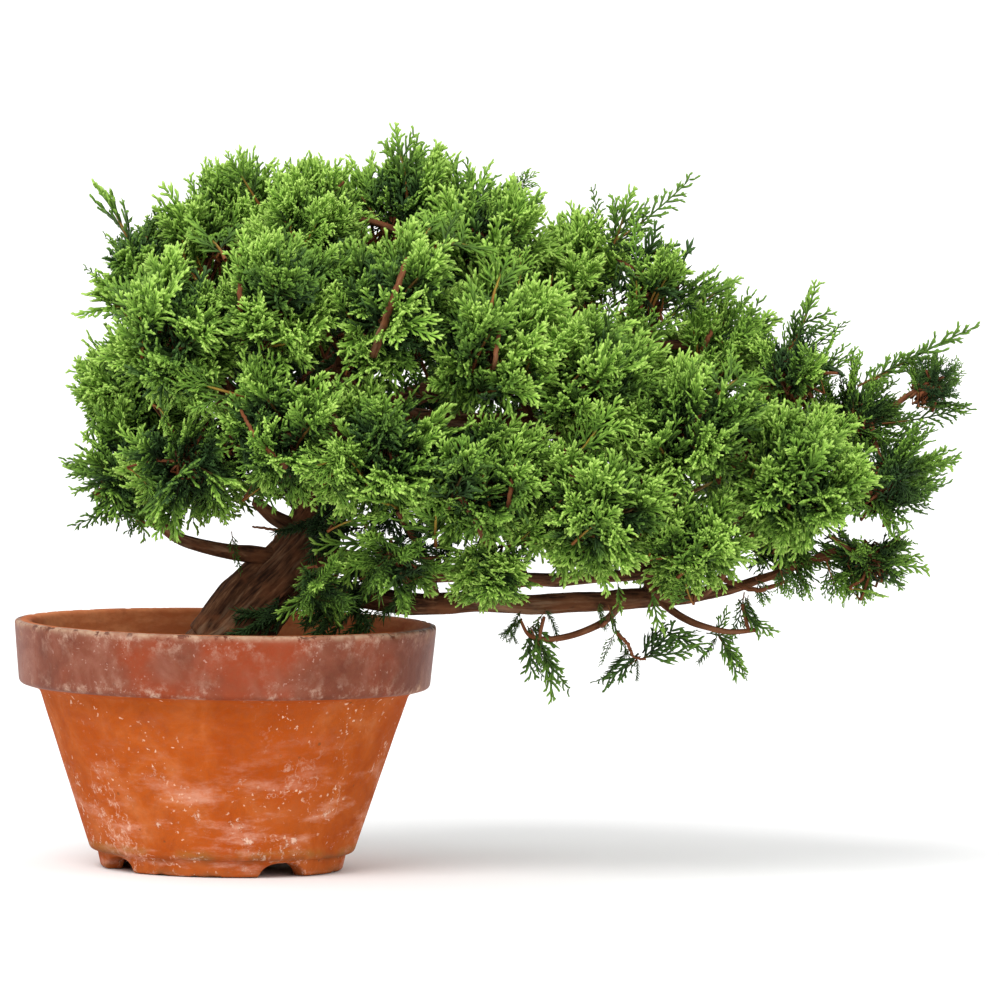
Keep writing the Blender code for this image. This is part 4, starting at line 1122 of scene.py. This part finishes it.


# Shoots that are placed one by one: kind, base, tip and tone, drawn like the limbs in
# millimetres. A depth of None is on the crown's front.
OWN_SHOOTS = [
    # long shoots that stand out of the crown's outline
    ("branchlet", (-50, 0, 345), (-68, 0, 392.5), 0.62),
    ("branchlet", (103, 0, 380), (101, 0, 422.5), 0.7),
    ("branchlet", (20, 0, 375), (0, 0, 406), 0.66),
    ("branchlet", (-10, 0, 352), (-40, 0, 376), 0.6),
    ("plume", (-56, 0, 322), (-78, 0, 342), 0.6),
    ("branchlet", (160, 0, 380), (176, 0, 396), 0.66),
    ("plume", (222, 0, 356), (267, 0, 387.5), 0.7),
    ("branchlet", (216, 0, 345), (236, 0, 384), 0.6),
    ("plume", (211, 0, 350), (212, 0, 385), 0.6),
    ("branchlet", (318, 0, 292), (343, 0, 328.5), 0.55),
    ("plume", (325, 0, 290), (353, 0, 307.5), 0.6),
    ("plume", (366, 0, 276), (422.5, 0, 310), 0.7),
    ("plume", (358, 0, 273), (400, 0, 296), 0.55),
    ("plume", (372, 0, 252), (422, 0, 256.5), 0.5),
    ("branchlet", (362, 0, 230), (413, 0, 225), 0.65),
    ("branchlet", (350, 0, 180), (397, 0, 164), 0.45),
    ("branchlet", (258, 0, 312), (293, 0, 335), 0.6),
    ("plume", (-45, -10, 226), (-91, -10, 233), 0.55),
    ("plume", (-40, -10, 212), (-86, -10, 196), 0.5),
    ("plume", (-30, -10, 210), (-54, -10, 189), 0.45),
    ("plume", (4, -20, 192), (6, -20, 168), 0.45),
    # low shoots before the trunk
    ("fan", (52, -48, 160), (33, -50, 146), 0.75),
    ("needle", (72, -38, 152), (40, -42, 154), 0.1),
    ("needle", (76, -36, 158), (48, -40, 150), 0.14),
    ("needle", (82, -44, 150), (67, -46, 132), 0.3),
    ("needle", (64, -42, 153), (52, -46, 134), 0.16),
    ("needle", (70, -40, 164), (73, -44, 143), 0.12),
    ("needle", (80, -40, 160), (58, -48, 146), 0.2),
    ("needle", (34, -26, 146), (12, -30, 149), 0.08),
    ("needle", (30, -26, 147), (19, -30, 131), 0.1),
    ("needle", (36, -26, 152), (26, -32, 137), 0.05),
    ("fan", (88, -56, 190), (56, -62, 185), 0.8),
    ("fan", (84, -56, 188), (68, -62, 164), 0.78),
    ("fan", (86, -56, 190), (60, -62, 172), 0.7),
    ("fan", (53, -40, 178), (44, -44, 164), 0.75),
    ("needle", (84, -46, 176), (60, -50, 166), 0.1),
    ("needle", (88, -46, 172), (66, -50, 158), 0.08),
    ("needle", (108, -50, 170), (95, -54, 147), 0.22),
    ("needle", (58, -30, 226), (36, -34, 219), 0.05),
    ("needle", (60, -32, 208), (46, -36, 196), 0.05),
    ("needle", (72, -36, 198), (54, -40, 182), 0.06),
    ("needle", (60, -30, 216), (50, -36, 190), 0.03),
    ("needle", (76, -36, 206), (60, -40, 196), 0.05),
    ("needle", (90, -34, 206), (74, -38, 190), 0.06),
    ("needle", (100, -36, 208), (88, -40, 188), 0.08),
    ("needle", (112, -36, 204), (104, -40, 184), 0.1),
    ("needle", (128, -38, 196), (120, -42, 176), 0.08),
    ("needle", (50, -26, 200), (34, -30, 192), 0.04),
    # shoots on the twigs below the cascade limb
    ("needle", (171, -36, 139.5), (181, -36, 120.5), 0.3),
    ("plume", (173, -38, 138.5), (190, -40, 101), 0.5),
    ("plume", (172, -34, 135), (177, -30, 109), 0.35),
    ("needle", (168, -36, 144), (160, -40, 131), 0.35),
    ("fan", (180, -38, 125), (188, -40, 102), 0.55),
    ("fan", (174, -38, 140), (186, -40, 115), 0.4),
    ("fan", (172, -36, 138), (174, -38, 113), 0.3),
    ("plume", (235, -36, 122.5), (213, -38, 103), 0.2),
    ("needle", (229, -36, 126), (214, -38, 113), 0.16),
    ("needle", (233, -36, 121), (234, -40, 109), 0.3),
    ("plume", (221, -35, 136), (210, -36, 119), 0.4),
    ("fan", (236, -36, 121), (254, -38, 138), 0.12),
    ("fan", (237, -36, 122), (263, -36, 125), 0.35),
    ("fan", (240, -35, 124), (258, -36, 133), 0.25),
    ("fan", (234, -36, 124), (216, -38, 108), 0.16),
    ("fan", (250, -34, 136), (272, -34, 127), 0.3),
    ("fan", (236, -34, 124), (246, -32, 140), 0.1),
    ("plume", (246, -34, 131), (268, -34, 134), 0.3),
    ("plume", (279, -31, 133), (294, -34, 110), 0.5),
    ("fan", (280, -30, 133), (290, -36, 118), 0.6),
    ("fan", (277, -30, 134), (284, -34, 147), 0.55),
    ("needle", (278, -30, 133), (270, -34, 117), 0.35),
    ("fan", (272, -30, 135), (286, -30, 134), 0.45),
    ("fan", (279, -31, 135), (292, -34, 114), 0.45),
    ("fan", (290, -28, 154), (303, -30, 137), 0.45),
    ("branchlet", (300, -20, 166), (308, -22, 151), 0.5),
    ("branchlet", (322, -18, 175), (329, -20, 152), 0.5),
    ("branchlet", (340, -14, 176), (347, -16, 150), 0.55),
    ("branchlet", (352, -10, 174), (362, -12, 149), 0.5),
    ("branchlet", (312, -30, 176), (318, -34, 154), 0.45),
    ("fan", (292, -28, 145), (309, -30, 135), 0.6),
    ("plume", (296, -20, 156), (292, -24, 136), 0.5),
    ("fan", (241, -44, 160), (245, -48, 139), 0.8),
    ("fan", (222, -44, 164), (223, -48, 149), 0.8),
    # bright shoots on the crown's front
    ("branchlet", (158, None, 208), (162, None, 256), 0.92),
    ("branchlet", (150, None, 212), (140, None, 250), 0.85),
    ("branchlet", (188, None, 226), (226, None, 272), 0.92),
    ("branchlet", (236, None, 204), (288, None, 226), 0.95),
    ("branchlet", (70, None, 238), (38, None, 234), 0.9),
    ("branchlet", (82, None, 224), (64, None, 252), 0.8),
    ("branchlet", (14, None, 272), (-30, None, 284), 0.8),
    ("branchlet", (108, None, 202), (82, None, 224), 0.9),
    ("branchlet", (120, None, 182), (118, None, 222), 0.85),
    ("branchlet", (196, None, 190), (218, None, 214), 0.85),
    ("branchlet", (120, None, 356), (152, None, 364), 0.8),
    ("branchlet", (96, None, 340), (124, None, 372), 0.8),
    ("branchlet", (10, None, 330), (-10, None, 372), 0.7),
    ("branchlet", (150, None, 318), (156, None, 352), 0.85),
    ("branchlet", (270, None, 262), (300, None, 296), 0.75),
    ("branchlet", (310, None, 232), (346, None, 262), 0.8),
    ("branchlet", (-40, None, 300), (-58, None, 342), 0.65),
]
# Stems that show among the shoots: the radius at each end and the route, in millimetres.
OWN_STEMS = [
    (3.6, 1.8, [(118, -34, 157), (114, -62, 179.5), (99, None, 208)]),
    (3.4, 1.6, [(158, -30, 155), (154, -62, 175), (145, None, 199), (127, None, 226)]),
    (2.4, 1.4, [(85, None, 296), (96, None, 327), (104, None, 350)]),
    (1.8, 1, [(150, None, 265), (153, None, 292), (156, None, 316)]),
    (1.7, 1, [(12, None, 300), (11, None, 330), (8, None, 356)]),
    (1.7, 1, [(36, None, 234), (22, None, 248), (11, None, 265)]),
    (1.6, 1, [(198, None, 224), (193, None, 238), (188, None, 252)]),
    (1.6, 1, [(158, None, 196), (161, None, 216), (164, None, 236)]),
    (1.5, 0.8, [(268, None, 290), (274, None, 302), (279, None, 314)]),
    (1, 0.7, [(221, -36, 136), (228, -36, 129), (231, -36, 122.5), (238, -36, 120.5)]),
    (0.9, 0.6, [(269, -34, 156), (264, -34, 166), (272, -34, 179)]),
    (0.8, 0.5, [(254, -32, 157), (266, -34, 168), (276, -34, 174)]),
    (1.7, 1, [(282, -20, 165), (300, -22, 159), (318, -24, 164)]),
    (1.4, 0.7, [(58, -12, 196), (34, -20, 193), (16, -22, 195)]),
    (1, 0.6, [(-36, -18, 200), (-44, -20, 216), (-60, -20, 230)]),
    (0.9, 0.5, [(-30, -18, 193), (-50, -20, 199), (-66, -20, 210)]),
]


def on_front(point, nodes, deep):
    """A drawn point as planted. Without a depth, it lies deep behind the crown's front."""
    x, y, height = metres(point)
    if y is not None:
        return planted((x, y, height))
    place = planted((x, 0.0, height))
    nearest = 0.0
    for middle, radius, *_ in nodes.values():
        aside = (place[0] - middle[0]) ** 2 + (place[2] - middle[2]) ** 2
        if aside < radius ** 2:
            nearest = min(nearest, middle[1] - math.sqrt(radius ** 2 - aside))
    place[1] = nearest + deep
    return place


def spikes_of(verts, faces, middle):
    """The outermost corners of a bough's star, which its long shoots reach."""
    reach = np.linalg.norm(verts - middle, axis=1)
    best = reach.copy()
    for face in faces:
        high = max(reach[list(face)])
        for corner in face:
            best[corner] = max(best[corner], high)
    return verts[reach >= best - 1e-9]


def put(bough, fine, kind, tip, growth, facing, size, tone, middle, droop=0.0, radius=0.02):
    """Places one spray whose tip is at a point, and its twig from the middle."""
    pool, full = SPRAYS[kind]
    tip = held_in(tip, middle)
    size = min(size, max(0.36, 1.25 * float(np.linalg.norm(tip - middle)) / full))
    tip = np.array([tip[0], min(max(tip[1], DEPTH[0]), DEPTH[1]), tip[2]])
    base = tip - growth * full * size * 0.97
    if not in_outline(base) and in_outline(middle):
        return
    bough.place(one_of(pool), base, growth, facing, size, tone, droop,
                middle, radius)
    root = middle + (base - middle) * 0.10
    knee = (root + base) / 2 + rng.normal(0, 0.0018, 3)
    fine.add([root, knee, base, base + growth * 0.003], [0.0012, 0.0010, 0.0009],
             [0.3, 0.5, 0.6, 0.7], 4)


def patch(point):
    """Below 0 where the crown is thin and painted in shade, above 0 where it is full and painted in
    light.
    """
    return noise.noise(Vector(point) * 24.0 + Vector((3.0, 1.0, 7.0)))


def low_down(point):
    """1 at the crown's underside, 0 from 100 mm above the rim."""
    return min(max((RIM_HEIGHT + 0.100 - point[2]) / 0.060, 0.0), 1.0)


def own_shoots(nodes):
    """The listed shoots, by the bough that each one is nearest to."""
    names = list(nodes)
    middles = np.array([nodes[name][0] for name in names])
    by_bough = {name: [] for name in names}
    for kind, base, tip, tone in OWN_SHOOTS:
        base, tip = on_front(base, nodes, 0.015), on_front(tip, nodes, -0.005)
        home = names[int(np.argmin(np.linalg.norm(middles - base, axis=1)))]
        by_bough[home].append((kind, base, tip, tone, 2.0 if base[1] < -0.05 else 0.6))
        if kind == "needle" and base[2] > RIM_HEIGHT + 0.004:
            for _ in range(3):
                by_bough[home].append((kind, base + rng.normal(0, 0.004, 3),
                                       tip + rng.normal(0, 0.006, 3), tone, 0.6))
    return by_bough


USUAL_RADIUS = 0.040              # of a bough
FULL_TURN = 6.28
LOOSE = {"tip": 1.0, "shoulder": 0.7}   # the share of long, loose shoots by kind of bough
LOOSE_ELSEWHERE = 0.14
# Boughs that lie left of one place and below the other: right of the pot's axis, and
# above the rim. They are sparse, or their foliage is young.
SPARSE_WITHIN = (0.020, 0.125)
YOUNG_WITHIN = (0.112, 0.046)
SPARSE_FULLNESS = 0.3


def lies_within(place, limits):
    return place[0] - AXIS[0] < limits[0] and place[2] < RIM_HEIGHT + limits[1]


def make_foliage(nodes, look):
    fine = Sticks()
    by_hand = own_shoots(nodes)
    for name, (middle, radius, verts, faces) in nodes.items():
        kind = name.split("_")[1]
        bough = Bough()
        for shoot, base, tip, tone, turned in by_hand[name]:
            pool, length = SPRAYS[shoot]
            ahead = unit(tip - base)
            size = min(0.88 if shoot == "branchlet" else 1.05,
                       float(np.linalg.norm(tip - base)) / length)
            bough.place(one_of(pool), tip - ahead * length * size, ahead,
                        np.array([0.0, -turned, 0.0]) + rng.normal(0, 0.35, 3),
                        size, tone, rng.normal(0, 1.0))
        if kind == "hanging":
            hang(bough, middle, radius)
            bough.piece(name.replace("foliage_", "shoots_"), look, name)
            continue
        # how many of its shoots are long and loose, and how full it is
        loose = LOOSE.get(kind, LOOSE_ELSEWHERE)
        sparse, young = lies_within(middle, SPARSE_WITHIN), lies_within(middle, YOUNG_WITHIN)
        full = SPARSE_FULLNESS if sparse else 1.0
        if kind == "inner":
            # shoots painted dark as shade, deep in the crown
            for way in even_directions(26, rng.uniform(0, FULL_TURN)):
                growth = unit(way + rng.normal(0, 0.5, 3))
                put(bough, fine, "needle" if rng.random() < 0.4 else "fan",
                    middle + way * radius * rng.uniform(0.5, 1.1), growth,
                    rng.normal(0, 1, 3), rng.uniform(0.9, 1.3), rng.uniform(0.0, 0.22), middle)
            bough.piece(name.replace("foliage_", "shoots_"), look, name)
            continue
        # a long shoot to each corner of the star that points out of the crown
        for tip in spikes_of(verts, faces, middle):
            way = unit(tip - middle)
            out = out_of_crown(tip)
            if way.dot(out) < 0.15 or (sparse and rng.random() < 0.45):
                continue
            shoot = "plume" if rng.random() < loose else "branchlet"
            if young:
                shoot = "needle" if rng.random() < 0.7 else "fan"
            growth = unit(0.70 * way + 0.25 * out + np.array([0.12, 0, 0.30])
                          + rng.normal(0, 0.12, 3))
            # painted light where the shoot faces up, painted light and shade in patches, brighter
            # low down
            tone = (0.66 + 0.22 * float(out[2]) + 0.60 * patch(tip) + 0.24 * low_down(tip)
                    + rng.normal(0, 0.14))
            put(bough, fine, shoot, tip, growth, out + rng.normal(0, 0.5, 3),
                rng.uniform(0.75, 1.0) * (0.7 + 0.3 * radius / USUAL_RADIUS), tone, middle,
                rng.normal(0, 2), radius)
        # shingled shoots that lie along the crown's surface
        count = int((40 if young else 14) * full * (radius / USUAL_RADIUS) ** 1.5)
        for way in even_directions(count, rng.uniform(0, FULL_TURN)):
            way = unit(way + rng.normal(0, 0.15, 3))
            spot = middle + way * radius * rng.uniform(0.62, 0.96)
            out = out_of_crown(spot)
            lean = float(way.dot(out))
            shade = patch(spot)
            if lean < -0.30 or shade < -0.17:
                continue
            sideways = unit(np.cross(out, rng.normal(0, 1, 3)))
            growth = unit(0.40 * out + 0.60 * sideways + 0.20 * way
                          + np.array([0.20, 0, 0.45]) + rng.normal(0, 0.12, 3))
            # painted light where the shoot faces up and on the bough's outer side, painted light
            # and shade in patches, brighter low down; painted shade on the side that faces into the
            # crown
            tone = (0.58 + 0.20 * float(out[2]) + 0.18 * lean + 0.80 * shade
                    + 0.26 * low_down(spot) + rng.normal(0, 0.17))
            if lean < 0.1:
                tone -= 0.15
            shoot = "plume" if rng.random() < loose - 0.2 else "branchlet"
            if young:
                shoot, tone = ("needle" if rng.random() < 0.8 else "fan"), tone - 0.16
            put(bough, fine, shoot, spot + growth * 0.005, growth, out + rng.normal(0, 0.45, 3),
                rng.uniform(0.76, 1.10) * (0.7 + 0.3 * radius / USUAL_RADIUS), tone, middle,
                rng.normal(0, 3.0), radius)
        # shoots that fill the bough, painted dark as shade
        count = int(16 * full ** 2 * (radius / USUAL_RADIUS) ** 1.5)
        for way in even_directions(max(count, 2), rng.uniform(0, FULL_TURN)):
            growth = unit(way + rng.normal(0, 0.4, 3))
            put(bough, fine, "needle" if rng.random() < 0.5 else "fan",
                middle + way * radius * rng.uniform(0.40, 0.85), growth, rng.normal(0, 1, 3),
                rng.uniform(0.8, 1.15), rng.uniform(0.0, 0.22), middle)
        bough.piece(name.replace("foliage_", "shoots_"), look, name)
    return fine


def hang(bough, middle, radius):
    for index in range(3):
        start = middle + rng.normal(0, radius * 0.22, 3) + [0, 0, 0.010]
        way = unit([rng.normal(0.15, 0.45), rng.normal(0, 0.35), -1.0])
        bough.place(one_of(NEEDLES if index % 3 else PLUMES), start, way, rng.normal(0, 1, 3),
                    rng.uniform(0.35, 0.55), rng.uniform(0.2, 0.5), rng.normal(0, 3.0))


def make_fine_twigs(fine, look):
    verts, faces, _, _ = fine.done()
    new_piece("fine_twigs", verts, faces, 3, look, None,
              {"grain": verts * [1.0, 1.0, 0.3], "thick": np.full(len(verts), 0.0009)})


# ------------------------------------------------------------------- the stage
def plain(name, colour, roughness):
    look = Look(name, roughness, 0.2)
    look.colour(colour)
    return look


FLOOR_REACH = 60.0
FLOOR_HEIGHT = -0.0004            # just below what stands on it


def make_stage():
    corners = [(-1, -1), (1, -1), (1, 1), (-1, 1)]
    mesh = bpy.data.meshes.new("floor")
    mesh.from_pydata([(x * FLOOR_REACH, y * FLOOR_REACH, FLOOR_HEIGHT) for x, y in corners],
                     [], [(0, 1, 2, 3)])
    mesh.materials.append(plain("floor_look", (0.86, 0.86, 0.86), 0.9).material)
    floor = bpy.data.objects.new("floor", mesh)
    bpy.context.scene.collection.objects.link(floor)
    world = bpy.data.worlds.new("studio")
    bpy.context.scene.world = world
    world.use_nodes = True
    back = world.node_tree.nodes["Background"]
    back.inputs[0].default_value = (1.0, 1.0, 1.0, 1.0)
    back.inputs[1].default_value = 1.0
    for name, energy, spread, turn in (("key", 2.1, 34, (44, 0, -24)),
                                       ("fill", 0.5, 60, (62, 0, 40))):
        data = bpy.data.lights.new(name, "SUN")
        data.energy = energy
        data.angle = math.radians(spread)
        lamp = bpy.data.objects.new(name, data)
        lamp.rotation_euler = [math.radians(v) for v in turn]
        bpy.context.scene.collection.objects.link(lamp)
    bpy.context.scene.view_settings.view_transform = "Standard"


def net_look():
    look = Look("net_look", roughness=0.5)
    look.colour(look.mix(look.span(look.noise(300.0), 0.4, 0.7), (0.012, 0.012, 0.013),
                         (0.040, 0.034, 0.028)))
    look.bump(look.noise(1800.0), 0.0002, 0.4)
    return look


add_camera()
make_stage()
make_pot()
nodes = foliage_nodes()
bark = bark_look()
make_wood(bark, nodes)
make_soil()
fine = make_foliage(nodes, foliage_look("foliage_look"))
make_fine_twigs(fine, bark)
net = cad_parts["drainage_net"]
net.material_slots[0].material = net_look().material
